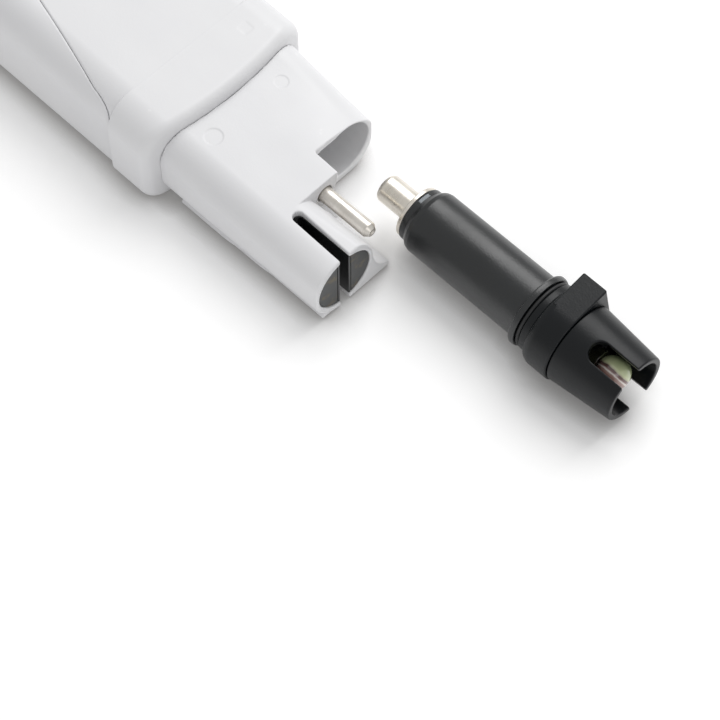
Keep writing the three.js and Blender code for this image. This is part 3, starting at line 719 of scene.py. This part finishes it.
def skin(name, field, grid, slot, body, nodes, turn=None):
    """Draws a field's surface, settles its vertices and gives them the field's normals."""
    x, y, z = (line_of(line, i) for i, line in enumerate(grid))
    values = np.broadcast_to(field(x, y, z), [len(line) for line in grid])
    points, faces = surface_net(values, grid)
    for _ in range(SETTLE_STEPS):
        slope = slope_of(field, points)
        steep = np.maximum((slope ** 2).sum(1), 0.2)
        step = slope * (field(*points.T) / steep)[:, None]
        points = points - np.clip(step, -SETTLE_LIMIT, SETTLE_LIMIT)
    normals = slope_of(field, points)
    normals /= np.maximum(np.linalg.norm(normals, axis=1), 1e-9)[:, None]
    if turn is not None:
        points = points @ turn.T + np.array([AXIS_X, 0, AXIS_Z])
        normals = normals @ turn.T
    make_object(name, row_frame(points), faces, slot, body, nodes, normals)


# ---- Turned pieces ------------------------------------------------------------------------------

FILLET_STEPS = 5
ON_AXIS = 1e-6


def unit(vector):
    return vector / max(1e-12, float(np.hypot(*vector)))


def rotated(vector, angle=math.pi / 2):
    c, s = math.cos(angle), math.sin(angle)
    return np.array([c * vector[0] - s * vector[1], s * vector[0] + c * vector[1]])


def filleted(corners, closed):
    """Profile points with normals from (radius, y, fillet) corners."""
    result = []
    count = len(corners)
    for i, (radius, y, fillet) in enumerate(corners):
        here = np.array([radius, y], float)
        before = np.array(corners[i - 1][:2], float)
        after = np.array(corners[(i + 1) % count][:2], float)
        if not closed and i == 0:
            result.append((here, rotated(unit(after - here))))
            continue
        if not closed and i == count - 1:
            result.append((here, rotated(unit(here - before))))
            continue
        arrives, leaves = unit(here - before), unit(after - here)
        bend = math.atan2(arrives[0] * leaves[1] - arrives[1] * leaves[0], float(arrives @ leaves))
        normal = rotated(arrives)
        if fillet == 0:
            result.append((here, rotated(normal, bend / 2)))
            continue
        side = math.copysign(1, bend)
        centre = here - arrives * fillet * abs(math.tan(bend / 2)) + side * fillet * normal
        for k in range(FILLET_STEPS + 1):
            leaning = rotated(normal, bend * k / FILLET_STEPS)
            result.append((centre - side * fillet * leaning, leaning))
    return result


def turned_rings(profile, segments):
    """Points and normals of each ring, and the rings as lists of point numbers."""
    points, normals, rings = [], [], []
    for (radius, y), (out, up) in profile:
        ring = []
        for j in range(segments if radius > ON_AXIS else 1):
            angle = 2 * math.pi * j / segments
            c, s = math.cos(angle), math.sin(angle)
            ring.append(len(points))
            points.append((radius * c, y, radius * s))
            normals.append((out * c, up, out * s) if radius > ON_AXIS else (0, up, 0))
        rings.append(ring)
    return np.array(points), np.array(normals), rings


def faces_between(low, high, segments):
    """Faces from one ring to the next, with triangles at a ring that is a single point."""
    faces = []
    for j in range(segments):
        k = j + 1
        face = [low[j % len(low)], low[k % len(low)], high[k % len(high)], high[j % len(high)]]
        face = list(dict.fromkeys(face))
        if len(face) > 2:
            faces.append(face)
    return faces


def lathe(name, corners, slot, body, nodes, closed=False, centre=(0, 0), turn=None, segments=112):
    """A profile of (radius, y, fillet) turned about the Y axis."""
    points, normals, rings = turned_rings(filleted(corners, closed), segments)
    faces = []
    for low, high in zip(rings, rings[1:] + rings[:1] if closed else rings[1:]):
        faces += faces_between(low, high, segments)
    volume = sum(
        np.dot(points[f[0]], np.cross(points[f[k]], points[f[k + 1]]))
        for f in faces for k in range(1, len(f) - 1)
    )
    if volume < 0:
        faces = [f[::-1] for f in faces]
    first = faces[0]
    facing = np.cross(points[first[1]] - points[first[0]], points[first[2]] - points[first[0]])
    if np.dot(facing, normals[first].sum(0)) < 0:
        normals = -normals
    if turn is not None:
        points = points @ turn.T
        normals = normals @ turn.T
        centre = (AXIS_X, AXIS_Z)
    points = points + np.array([centre[0], 0, centre[1]])
    make_object(name, row_frame(points), faces, slot, body, nodes, normals)


# ---- Probe housing ------------------------------------------------------------------------------

def curve_points(start, control, end, steps=8):
    ts = [k / steps for k in range(1, steps + 1)]
    return [tuple((1 - t) ** 2 * a + 2 * t * (1 - t) * b + t * t * c
                  for a, b, c in zip(start, control, end)) for t in ts]


def beside_cell_outline():
    """What is taken away beside the cell, seen from the sensor end."""
    flank, shoulder, start = 7, 8.2, 1.4
    corners = [(1.75, -3), (30, -3), (30, 40), (CELL_X + flank * math.cos(start), 40)]
    for k in range(25):
        angle = start * (1 - k / 24)
        corners.append((CELL_X + flank * math.cos(angle), CELL_Z + shoulder * math.sin(angle)))
    corners += curve_points((CELL_X + flank, CELL_Z), (-1.4, 2.5), (1.75, 1.4), 10)
    return corners


BESIDE_CELL = beside_cell_outline()


def housing_outline(x, y, z):
    """The housing's rounded bar, and each place's height with crown and rise taken out."""
    drawn_in = 1 + DRAW_IN * np.minimum(0, y - DRAW_IN_Y)
    straight = np.where(x > 0, x / (1 + FLARE * y), x / drawn_in)
    crown = CROWN * (1 - y / CROWN_END_Y) * np.maximum(0, straight) ** 2
    upper = HOUSING_TOP - WAIST_Z
    rise = (1 + TOP_RISE * y / upper) * (1 - crown / upper)
    level = np.where(z > WAIST_Z, WAIST_Z + (z - WAIST_Z) / rise, z)
    bar = rounded(straight, level, -HOUSING_HALF, HOUSING_HALF, HOUSING_FOOT_Z, HOUSING_TOP,
                  HOUSING_LOW_RADIUS, HOUSING_HIGH_RADIUS)
    return bar, level


def sunk_disc(x, y, place_x, place_y, radius, depth):
    """How deep a soft-edged round mark lies at each place."""
    away = hypot(x - place_x, y - place_y) - radius
    return depth * smooth_step(np.clip(0.5 - away / MARK_SOFTNESS, 0, 1))


def foot_lip(x, y, z):
    """The lip along the foot of the left flank, wider towards the cell's end."""
    edge = LIP_EDGE_X + LIP_GROWTH * np.clip(DRAW_IN_Y - y, 0, 16)
    slope = (edge - LIP_REACH - x) * LIP_SLOPE[0] + (z - 1) * LIP_SLOPE[1]
    lip = meet(meet(slope, span(z, *LIP_SPAN), 0.2), span(y, CELL_END_Y, SPIGOT_SPAN[0]), 0.3)
    return np.maximum(lip, x + 9)


def pin_notch(x, y, z):
    """The notch at the foot of the pin, which runs out forwards and spares the cell's wall."""
    ahead = BLOCK_END_Y - y
    notch = meet(span(x, NOTCH_SIDES[0] + NOTCH_TAPER * ahead, NOTCH_SIDES[1]), -ahead, 0.1)
    notch = np.maximum(notch, 0.7 * (NOTCH_FLOOR_Z + ahead - z))
    return np.maximum(notch, CELL_RADIUS + CELL_WALL - hypot(x - CELL_X, z - CELL_Z))


def socket_cuts(body, x, y, z):
    """Opens the socket's half-round room, the block's side, the bore and the pocket beside it."""
    body = cut(body, meet(disc(x, z, AXIS_X, AXIS_Z, ROOM_RADIUS), y, 0.3), 0.3)
    body = cut(body, meet(BLOCK_SIDE_X - x, y, 0.3), 0.35)
    for radius, end_y, fillet in BORES:
        body = cut(body, meet(disc(x, z, AXIS_X, AXIS_Z, radius), y - end_y, 0.2), fillet)
    pocket = np.maximum(y - 3.5, span(z, AXIS_Z, 14.3))
    return cut(body, np.maximum(span(x, BLOCK_SIDE_X + 0.4, AXIS_X), pocket), 0.3)


def sensor_cuts(body, x, y, z):
    """Opens the cell's bore and slot, the pin's hole and the hollow behind them."""
    cell = meet(disc(x, z, CELL_X, CELL_Z, CELL_RADIUS), y - CELL_HOLE_END_Y, 0.2)
    body = cut(body, cell, 0.25)
    body = cut(body, slot_field(x, y), 0.3)
    hole = meet(disc(x, z, PIN_X, PIN_Z, PIN_HOLE_RADIUS), y - PIN_HOLE_END_Y, 0.2)
    body = cut(body, hole, 0.2)
    return cut(body, np.maximum(rounded(x, z, -14.5, 0.9, 4, 13.5, 1, 1), span(y, 10, 40)), 0.3)


def housing_field(x, y, z):
    outline, level = housing_outline(x, y, z)
    body = meet(meet(outline, CELL_END_Y - y, 0.45), -before_bow(x, y, -0.06), 0.06)
    spigot = meet(rounded(x, z, *SPIGOT), span(y, *SPIGOT_SPAN), 0.3)
    tube = disc(x, z, AXIS_X, AXIS_Z, SOCKET_TUBE_RADIUS)
    tube = meet(tube, span(y, *SOCKET_TUBE_SPAN), 0.3)
    body = join(join(body, spigot, 0.1), tube, 0.1)
    body = join(body, foot_lip(x, y, z), 0.12)
    body = cut(body, meet(polygon(x, z, BESIDE_CELL), y - BLOCK_END_Y, 0.2), 0.25)
    body = cut(body, pin_notch(x, y, z), 0.12)
    body = sensor_cuts(socket_cuts(body, x, y, z), x, y, z)
    marks = sum(sunk_disc(x, y, *mark) for mark in MARKS)
    return body + np.where(level > HOUSING_TOP - 1.2, marks, 0)


def slot_field(x, y):
    """The open slot down the middle of the cell, with a round inner end."""
    round_end = hypot(x - CELL_X, y - SLOT_ROUND_Y)
    return np.where(y < SLOT_ROUND_Y, np.abs(x - CELL_X), round_end) - SLOT_WIDTH / 2


def probe_housing():
    xs = grid_lines(
        (-17.5, -11.2, 0.3), (-11.2, -6.4, 0.16), (-6.4, -3, 0.3), (-3, 1, 0.2),
        (1, 3.4, 0.15), (3.4, 6.4, 0.27), (6.4, 10, 0.18), (10, 18, 0.28),
    )
    ys = grid_lines(
        (-19.7, -18, 0.15), (-18, -9.6, 0.6), (-9.6, -4.8, 0.16), (-4.8, -1, 0.4), (-1, 1, 0.14),
        (1, 4.5, 0.25), (4.5, 12.4, 0.7), (12.4, 16.8, 0.17), (16.8, 20.8, 0.27), (20.8, 38.4, 0.6),
    )
    zs = grid_lines((-0.3, 3, 0.18), (3, 18, 0.31))
    grid = (xs, ys, zs)
    skin("housing_moulding", housing_field, grid, "white_shell", "casing", ["probe_housing"])


# ---- Shells of the display and battery section --------------------------------------------------

def head_outline(x, y, z, half, inset=0.0, face_inset=None):
    """The head's rounded bar, which thickens slowly towards the battery cap."""
    face_inset = inset if face_inset is None else face_inset
    top = HEAD_TOP - inset
    level = unlean(y, z, HEAD_LEAN_Z, top, HEAD_FRONT_Y, HEAD_LEAN)
    low_radius = max(0.6, HEAD_LOW_RADIUS - inset)
    high_radius = max(0.6, HEAD_HIGH_RADIUS - inset)
    return rounded(x, level, inset - half, half - inset, face_inset, top, low_radius, high_radius)


def tongue_outline(grow):
    """The middle shell's tongue, seen from its own side, grown by a gap all round."""
    shoulder, neck, neck_y = 16.9 + grow, 6.6 + grow, 76
    foot = SEAM_Y + grow
    right = [(30, SEAM_Y - 1), (30, foot), (UPPER_HALF, foot)]
    right += curve_points((UPPER_HALF, foot), (shoulder + 0.6, foot + 1), (shoulder, SEAM_Y + 6))
    tip = [(neck * math.cos(a), neck_y + neck * math.sin(a))
           for a in (math.pi * k / 24 for k in range(25))]
    left = [(-u, v) for u, v in reversed(right)]
    return right + tip + left


TONGUE = tongue_outline(0)
TONGUE_OPENING = tongue_outline(SEAM_GAP)


def in_tongue(x, y, z, outline, low_z):
    return np.maximum(polygon(x, y, outline), low_z - z)


def sleeve(x, y, z):
    hollow = head_outline(x, y, z, UPPER_HALF, WALL, FACE_WALL)
    return cut(head_outline(x, y, z, UPPER_HALF), hollow, 0.2)


def recess_depth(x, y):
    """The small rectangular recess behind the seam, on the socket's side."""
    beyond = rounded(x, y, 9.3, 11.5, 24.8, 27, 0.3, 0.3)
    return 0.05 * smooth_step(np.clip(0.5 - beyond / 0.5, 0, 1))


def middle_field(x, y, z):
    ring = meet(head_outline(x, y, z, MIDDLE_HALF), before_bow(x, y), 1.8)
    ring = meet(ring, y - SEAM_Y, 0.3)
    inside = head_outline(x, y, z, MIDDLE_HALF, WALL, FACE_WALL)
    ring = cut(ring, np.maximum(inside, before_bow(x, y, WALL)), 0.2)
    opening = np.maximum(rounded(x, z, -16.2, 16.5, 1.2, 15.9, 5, 5), y - SEAM_Y + 5)
    ring = cut(ring, opening, 0.2)
    behind_seam = np.maximum(sleeve(x, y, z), SEAM_Y - 0.5 - y)
    tongue = meet(behind_seam, in_tongue(x, y, z, TONGUE, 15.2), SEAM_FILLET)
    whole = join(ring, tongue, 0.05)
    return whole + np.where(z > 18, recess_depth(x, y), 0)


def middle_shell():
    xs = grid_lines((-20.4, -17.5, 0.3), (-17.5, 17.5, 0.22), (17.5, 20.4, 0.3))
    ys = grid_lines(
        (18.2, 24, 0.2), (24, 27.2, 0.3), (27.2, 29.6, 0.4), (29.6, 32.4, 0.14), (32.4, 84, 0.36),
    )
    zs = grid_lines((-0.6, 14, 0.4), (14, 24, 0.28))
    grid = (xs, ys, zs)
    skin("middle_moulding", middle_field, grid, "white_shell", "casing", ["middle_shell"])


def key_outline(x, y, place_x, grow):
    half_x, half_y, corner = KEY_HALF_X, KEY_HALF_Y, KEY_CORNER + grow
    return rounded(x, y, place_x - half_x - grow, place_x + half_x + grow,
                   KEY_Y - half_y - grow, KEY_Y + half_y + grow, corner, corner)


def upper_field(x, y, z):
    shell = meet(sleeve(x, y, z), span(y, SEAM_Y + SEAM_GAP, HEAD_REAR_Y), 0.15)
    shell = cut(shell, in_tongue(x, y, z, TONGUE_OPENING, 15), SEAM_FILLET)
    for u, v in SCREWS:
        boss = meet(disc(x, z, u, v, BOSS_RADIUS), span(y, 105.5, HEAD_REAR_Y), 0.2)
        boss = meet(boss, head_outline(x, y, z, UPPER_HALF, 0.5), 0.1)
        hole = np.maximum(disc(x, z, u, v, SCREW_HOLE_RADIUS), 104 - y)
        shell = cut(join(shell, boss, 0.3), hole, 0.15)
    window = rounded(x, y, -WINDOW_HALF, WINDOW_HALF, WINDOW_Y0, WINDOW_Y1, 0.6, 0.6)
    shell = cut(shell, np.maximum(window, z - WALL), 0.2)
    for place_x in (-KEY_X, KEY_X):
        shell = cut(shell, np.maximum(key_outline(x, y, place_x, FIT), z - WALL), 0.2)
    return shell


def upper_shell():
    xs = grid_lines((-19.6, 19.6, 0.3))
    ys = grid_lines(
        (30.4, 32.4, 0.15), (32.4, 50.5, 0.46), (50.5, 61.5, 0.36), (61.5, 71.4, 0.46),
        (71.4, 72.8, 0.2), (72.8, 82.2, 0.46), (82.2, 84, 0.25), (84, 102.2, 1.2),
        (102.2, 103.6, 0.2), (103.6, 113, 0.6), (113, 114.5, 0.15),
    )
    zs = grid_lines((-0.4, 3, 0.25), (3, 14, 0.5), (14, 24, 0.34))
    grid = (xs, ys, zs)
    skin("upper_moulding", upper_field, grid, "white_shell", "casing", ["upper_shell"])


def cap_field(x, y, z):
    cap = meet(head_outline(x, y, z, UPPER_HALF), CAP_FRONT_Y - y, 0.25)
    cap = meet(cap, y - CAP_REAR_Y, 1.3)
    cap = cut(cap, np.maximum(head_outline(x, y, z, UPPER_HALF, 7), y - CAP_REAR_Y + 2.2), 0.3)
    for u, v in SCREWS:
        cap = cut(cap, disc(x, z, u, v, SCREW_HOLE_RADIUS), 0.15)
        cap = cut(cap, np.maximum(disc(x, z, u, v, 2.3), CAP_REAR_Y - 4 - y), 0.25)
    return cap


def battery_cap():
    xs = grid_lines((-19.6, 19.6, 0.3))
    ys = grid_lines((114.6, 116, 0.2), (116, 125, 0.8), (125, 130.5, 0.25))
    zs = grid_lines((-0.6, 24, 0.3))
    skin("cap_moulding", cap_field, (xs, ys, zs), "white_shell", "cap", ["battery_cap"])


def gasket_field(x, y, z):
    between = span(y, HEAD_REAR_Y + 0.1, CAP_FRONT_Y - 0.1)
    ring = meet(head_outline(x, y, z, UPPER_HALF, 0.4), between, 0.2)
    ring = cut(ring, head_outline(x, y, z, UPPER_HALF, 6), 0.15)
    for u, v in SCREWS:
        ring = cut(ring, disc(x, z, u, v, SCREW_HOLE_RADIUS), 0.1)
    return ring


def cap_gasket():
    xs = grid_lines((-19.2, 19.2, 0.32))
    ys = grid_lines((113.8, 115.2, 0.12))
    zs = grid_lines((0, 23.4, 0.32))
    skin("gasket_ring", gasket_field, (xs, ys, zs), "black_rubber", "cap", ["cap_gasket"])


def screw_field(u, v):
    def field(x, y, z):
        head = meet(disc(x, z, u, v, 1.9), span(y, CAP_REAR_Y - 3.8, CAP_REAR_Y - 2), 0.25)
        shank = meet(disc(x, z, u, v, 0.95), span(y, 106, CAP_REAR_Y - 3), 0.2)
        across, up = np.abs(x - u), np.abs(z - v)
        arm_up = np.maximum(across - 0.28, up - 1.15)
        arm_across = np.maximum(up - 0.28, across - 1.15)
        cross = np.maximum(np.minimum(arm_up, arm_across), CAP_REAR_Y - 3 - y)
        return cut(join(head, shank, 0.1), cross, 0.08)
    return field


def cap_screws():
    for index, (u, v) in enumerate(SCREWS, 1):
        grid = (
            grid_lines((u - 2.3, u + 2.3, 0.1)),
            grid_lines((105.6, 107, 0.2), (107, 125.8, 1.5), (125.8, 128.4, 0.1)),
            grid_lines((v - 2.3, v + 2.3, 0.1)),
        )
        name = f"cap_screw_{index}"
        skin(f"cap_screw_body_{index}", screw_field(u, v), grid, "steel", "cap", [name])


# ---- Display side -------------------------------------------------------------------------------

def key_field(place_x):
    """A crowned key with a skirt behind the shell and a stem that reaches its switch."""
    def field(x, y, z):
        crown = 0.25 + 0.012 * ((x - place_x) ** 2 + (y - KEY_Y) ** 2)
        key = meet(key_outline(x, y, place_x, 0), np.maximum(crown - z, z - 2.1), 0.35)
        skirt = rounded(x, y, place_x - 6.2, place_x + 6.2, KEY_Y - 4.7, KEY_Y + 4.7, 4.4, 4.4)
        skirt = meet(skirt, span(z, 1.35, 2.1), 0.1)
        stem = meet(disc(x, y, place_x, KEY_Y, 1.4), span(z, 1.8, 2.9), 0.1)
        return join(join(key, skirt, 0.1), stem, 0.15)
    return field


def keys():
    for name, place_x, body in (("mode", -KEY_X, "mode_key"), ("hold", KEY_X, "hold_key")):
        grid = (
            grid_lines((place_x - 6.6, place_x + 6.6, 0.18)),
            grid_lines((KEY_Y - 5.1, KEY_Y + 5.1, 0.18)),
            grid_lines((-0.1, 3.2, 0.09)),
        )
        skin(f"{name}_key_cap", key_field(place_x), grid, "key_grey", body, [f"{name}_button"])


def pane_field(x, y, z):
    half = WINDOW_HALF - FIT
    pane = rounded(x, y, -half, half, WINDOW_Y0 + FIT, WINDOW_Y1 - FIT, 0.5, 0.5)
    return meet(pane, span(z, 0.15, 1.3), 0.15)


def display_window():
    grid = (
        grid_lines((-14.4, -13.2, 0.12), (-13.2, 13.2, 1.2), (13.2, 14.4, 0.12)),
        grid_lines((71.8, 73.2, 0.12), (73.2, 101.8, 1.4), (101.8, 103.2, 0.12)),
        grid_lines((-0.1, 1.6, 0.1)),
    )
    skin("display_pane", pane_field, grid, "clear_window", "casing", ["display_window"])


# ---- Sensors in the housing ---------------------------------------------------------------------

def temperature_pin():
    """A steel pin with a chamfered end and a small dimple in its tip."""
    lathe("temperature_probe", [
        (0, PIN_TIP_Y + 0.45, 0), (0.3, PIN_TIP_Y + 0.35, 0.08), (0.45, PIN_TIP_Y, 0.06),
        (0.87, PIN_TIP_Y, 0.12), (PIN_RADIUS, PIN_TIP_Y + 0.9, 0.25), (PIN_RADIUS, PIN_FOOT_Y, 0.1),
        (0, PIN_FOOT_Y, 0),
    ], "steel", "casing", ["temperature_pin"], centre=(PIN_X, PIN_Z), segments=72)


CELL_INNER = SLOT_WIDTH / 2 + LINER + 0.1
CELL_INSERT_RADIUS = CELL_RADIUS - 0.1


def cell_block_field(side):
    def field(x, y, z):
        round_side = disc(x, z, CELL_X, CELL_Z, CELL_INSERT_RADIUS)
        core = meet(round_side, CELL_INNER - side * (x - CELL_X), 0.15)
        return meet(core, span(y, CELL_FACE_Y, CELL_BACK_Y), 0.15)
    return field


def cell_liner_field(x, y, z):
    round_side = disc(x, z, CELL_X, CELL_Z, CELL_INSERT_RADIUS)
    slab = meet(round_side, np.abs(x - CELL_X) - CELL_INNER + 0.1, 0.1)
    slab = meet(slab, span(y, CELL_FACE_Y, CELL_BACK_Y), 0.1)
    return cut(slab, slot_field(x, y), 0.1)


def cell_pieces():
    ys = grid_lines((-19, -18, 0.08), (-18, 5, 0.8), (5, 6, 0.1))
    zs = grid_lines((CELL_Z - 6.5, CELL_Z + 6.5, 0.14))
    for name, side in (("left", -1), ("right", 1)):
        ends = sorted((CELL_X + side * 1.4, CELL_X + side * 6.5))
        grid = (grid_lines((*ends, 0.12)), ys, zs)
        skin(f"cell_insert_{name}", cell_block_field(side), grid, "cell_graphite", "casing",
             [f"cell_block_{name}"])
    grid = (
        grid_lines((CELL_X - 1.8, CELL_X + 1.8, 0.08)),
        grid_lines((-19, -18, 0.08), (-18, -9, 0.7), (-9, -6, 0.12), (-6, 5, 0.8), (5, 6, 0.1)),
        grid_lines((CELL_Z - 6.5, CELL_Z + 6.5, 0.2)),
    )
    skin("cell_lining", cell_liner_field, grid, "black_plastic", "casing", ["cell_liner"])


# ---- pH electrode -------------------------------------------------------------------------------

ROLL = math.radians(-12)
TURN = np.array([
    [math.cos(ROLL), 0, math.sin(ROLL)],
    [0, 1, 0],
    [-math.sin(ROLL), 0, math.cos(ROLL)],
])


def bulb_profile():
    """From the flat end at the stem round to the tip of the bulb."""
    neck_y = STEM_END_Y - 0.1
    start = math.asin((neck_y - BULB_Y) / BULB_RADIUS)
    dome = [(0, neck_y, 0)]
    for k in range(29):
        angle = start - (start + math.pi / 2) * k / 29
        dome.append((BULB_RADIUS * math.cos(angle), BULB_Y + BULB_RADIUS * math.sin(angle), 0))
    return dome + [(0, BULB_Y - BULB_RADIUS, 0)]


def electrode_lathes():
    def turned(name, corners, slot, node, body="electrode", **options):
        lathe(name, corners, slot, body, [node], turn=TURN, **options)

    turned("plug_sleeve", [
        (1, PLUG_BASE_Y, 0.05), (PLUG_RADIUS, PLUG_BASE_Y, 0.08), (PLUG_RADIUS, -11.15, 0.35),
        (2.5, -10.62, 0.2), (2.1, -10.4, 0.16), (1.05, -10.4, 0.1), (1, -10.8, 0.1),
    ], "nickel", "plug_barrel", closed=True)
    turned("plug_core", [
        (0.5, PLUG_BASE_Y, 0.03), (0.95, PLUG_BASE_Y, 0.03), (0.95, -10.55, 0.08),
        (0.5, -10.55, 0.08),
    ], "insulator", "plug_insulator", closed=True, segments=48)
    turned("plug_disc", [
        (0, FLANGE_REAR_Y, 0), (FLANGE_RADIUS, FLANGE_REAR_Y, 0.12),
        (FLANGE_RADIUS, PLUG_BASE_Y - 0.1, 0.25), (0, PLUG_BASE_Y - 0.1, 0),
    ], "nickel", "plug_flange")
    turned("electrode_body", [
        (1.9, TUBE_FRONT_Y - 0.08, 0.02), (TUBE_RADIUS, TUBE_FRONT_Y - 0.08, 0.02),
        (TUBE_RADIUS, -21.7, 0.7), (6.1, -20.9, 0.7), (5.5, COLLAR_REAR_Y - 0.1, 0.1),
        (1.9, COLLAR_REAR_Y - 0.1, 0.05),
    ], "black_plastic", "electrode_tube", closed=True, segments=144)
    turned("flange_ring", [
        (0, STOP_FRONT_Y, 0), (STOP_RADIUS - 0.15, STOP_FRONT_Y, 0.2),
        (STOP_RADIUS, STOP_FRONT_Y + 0.6, 0.3), (STOP_RADIUS, TUBE_FRONT_Y - 0.4, 0.1),
        (STOP_RADIUS - 0.22, TUBE_FRONT_Y - 0.1, 0.06), (0, TUBE_FRONT_Y - 0.1, 0),
    ], "black_plastic", "stop_flange", segments=144)
    torus = [(RING_RADIUS + RING_SECTION * math.cos(a), RING_Y + RING_SECTION * math.sin(a), 0)
             for a in (2 * math.pi * k / 20 for k in range(20))]
    turned("sealing_o_ring", torus, "black_rubber", "sealing_ring", "electrode_carrier",
           closed=True, segments=144)
    turned("stem_tube", [
        (0, STEM_END_Y, 0), (STEM_RADIUS, STEM_END_Y, 0.1), (STEM_RADIUS, STEM_REAR_Y, 0.1),
        (0, STEM_REAR_Y, 0),
    ], "electrode_glass", "glass_stem")
    turned("sensor_bulb", bulb_profile(), "electrode_glass", "glass_bulb")


def rear_collar_field(x, y, z):
    ring = meet(hypot(x, z) - 5.35, y - FLANGE_REAR_Y + 0.1, 0.2)
    ring = meet(ring, COLLAR_REAR_Y - 0.07 - y, 0.03)
    window = np.maximum(span(x, 0.3, 2.9), span(y, COLLAR_REAR_Y + 0.2, FLANGE_REAR_Y - 0.3))
    return cut(ring, np.maximum(window, 4.4 - z), 0.06)


def window_insert_field(x, y, z):
    """Grey hatched insert that fills the collar's window, a little below its rim."""
    hatch = 0.05 * np.cos(2 * math.pi * x / 0.37) * np.cos(2 * math.pi * y / 0.37)
    block = np.maximum(span(x, 0.35, 2.85), span(y, COLLAR_REAR_Y + 0.25, FLANGE_REAR_Y - 0.35))
    return np.maximum(block, np.maximum(hypot(x, z) - 5.22 + hatch, 4.45 - z))


def lug_outline():
    """The squared quarter of the collar: its top runs onto the round as a tangent."""
    reach = COLLAR_RADIUS
    tangent = math.atan2(LUG_TOP, LUG_SIDE) + math.acos(reach / math.hypot(LUG_SIDE, LUG_TOP))
    return [(0, LUG_LOW), (LUG_SIDE, LUG_LOW), (LUG_SIDE, LUG_TOP),
            (reach * math.cos(tangent), reach * math.sin(tangent))]


LUG = lug_outline()


def locking_collar_field(x, y, z):
    r = hypot(x, z)
    body = meet(r - COLLAR_RADIUS, COLLAR_FRONT_Y - y, 0.3)
    body = meet(body, y - SHOULDER_REAR_Y + 0.4, 0.1)
    cone = (r - 7 + 0.85 * (y - SHOULDER_REAR_Y)) / math.hypot(1, 0.85)
    body = meet(body, cone, 0.6)
    step = meet(r - 6.95, span(y, SHOULDER_REAR_Y - 2, NECK_REAR_Y), 0.22)
    neck = meet(r - 5.95, span(y, SHOULDER_REAR_Y, STOP_FRONT_Y - 0.1), 0.1)
    lug = meet(polygon(x, z, LUG), span(y, COLLAR_FRONT_Y, LUG_REAR_Y), 0.3)
    whole = np.minimum(join(join(body, step, 0.12), neck, 0.1), lug)
    return cut(whole, np.maximum(r - STEM_HOLE_RADIUS, y - SHOULDER_REAR_Y), 0.15)


GUARD_TURN = math.radians(-5)


def guard_field(x, y, z):
    r = hypot(x, z)
    radii = (GUARD_END_RADIUS, GUARD_BASE_RADIUS)
    outer = r - np.interp(y, (GUARD_END_Y, COLLAR_FRONT_Y), radii)
    shell = meet(outer, span(y, GUARD_END_Y, COLLAR_FRONT_Y - 0.1), 0.28)
    shell = cut(shell, meet(r - GUARD_HOLLOW_RADIUS, y - GUARD_HOLLOW_Y, 0.3), 0.22)
    shell = cut(shell, r - STEM_HOLE_RADIUS - 0.1, 0.15)
    across = x * math.cos(GUARD_TURN) - z * math.sin(GUARD_TURN)
    round_end = hypot(across, y - GUARD_SLOT_ROUND_Y)
    slot = np.where(y < GUARD_SLOT_ROUND_Y, np.abs(across), round_end) - GUARD_SLOT_HALF
    shell = cut(shell, slot, 0.25)
    vent = np.maximum(disc(x, z, -4.4, 0, 0.8), y + 57.5)
    return cut(shell, vent, 0.1)


def electrode_skins():
    wide = grid_lines((-5.8, 5.8, 0.12))
    skin("collar_ring", rear_collar_field, (wide, grid_lines((-20.3, -18.5, 0.09)), wide),
         "black_plastic", "electrode", ["rear_collar"], TURN)
    grid = (
        grid_lines((0.2, 3, 0.06)),
        grid_lines((-19.85, -18.95, 0.06)),
        grid_lines((4.3, 5.5, 0.08)),
    )
    skin("collar_window", window_insert_field, grid, "key_grey", "electrode", ["rear_collar"], TURN)
    grid = (
        grid_lines((-8.6, 9, 0.17)),
        grid_lines((-56.9, -55.8, 0.12), (-55.8, -52.4, 0.4), (-52.4, -47.5, 0.12)),
        grid_lines((-8.6, 8.6, 0.17)),
    )
    skin("locking_body", locking_collar_field, grid, "guard_plastic", "electrode",
         ["locking_collar"], TURN)
    across = grid_lines((-8.3, 8.3, 0.17))
    lengthways = grid_lines(
        (-69.9, -68.8, 0.12), (-68.8, -64, 0.4), (-64, -58.8, 0.16), (-58.8, -57.4, 0.3),
        (-57.4, -56.2, 0.12),
    )
    skin("guard_body", guard_field, (across, lengthways, across), "guard_plastic", "electrode",
         ["bulb_guard"], TURN)


# ---- CAD nodes that stay as they are, with better materials -------------------------------------

KEPT = {
    "steel": ["battery_1", "battery_2", "battery_3", "battery_4"],
    "black_plastic": ["lcd_frame", "tact_switch_1", "tact_switch_2", "processor", "battery_holder"],
    "black_rubber": ["contact_strip_1", "contact_strip_2"],
    "board_green": ["circuit_board"],
    "lcd": ["lcd_glass"],
    "nickel": ["battery_contact_negative", "battery_contact_positive", "socket_barrel"],
    "gold_contact": ["socket_contact", "reference_wire"],
    "insulator": ["socket_insulator", "junction_plug"],
}


def finish_kept_nodes():
    for slot, names in KEPT.items():
        for name in names:
            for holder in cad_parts[name].material_slots:
                holder.material = MATERIALS[slot]


build_studio()
probe_housing()
middle_shell()
upper_shell()
battery_cap()
cap_gasket()
cap_screws()
keys()
display_window()
temperature_pin()
cell_pieces()
electrode_lathes()
electrode_skins()
finish_kept_nodes()
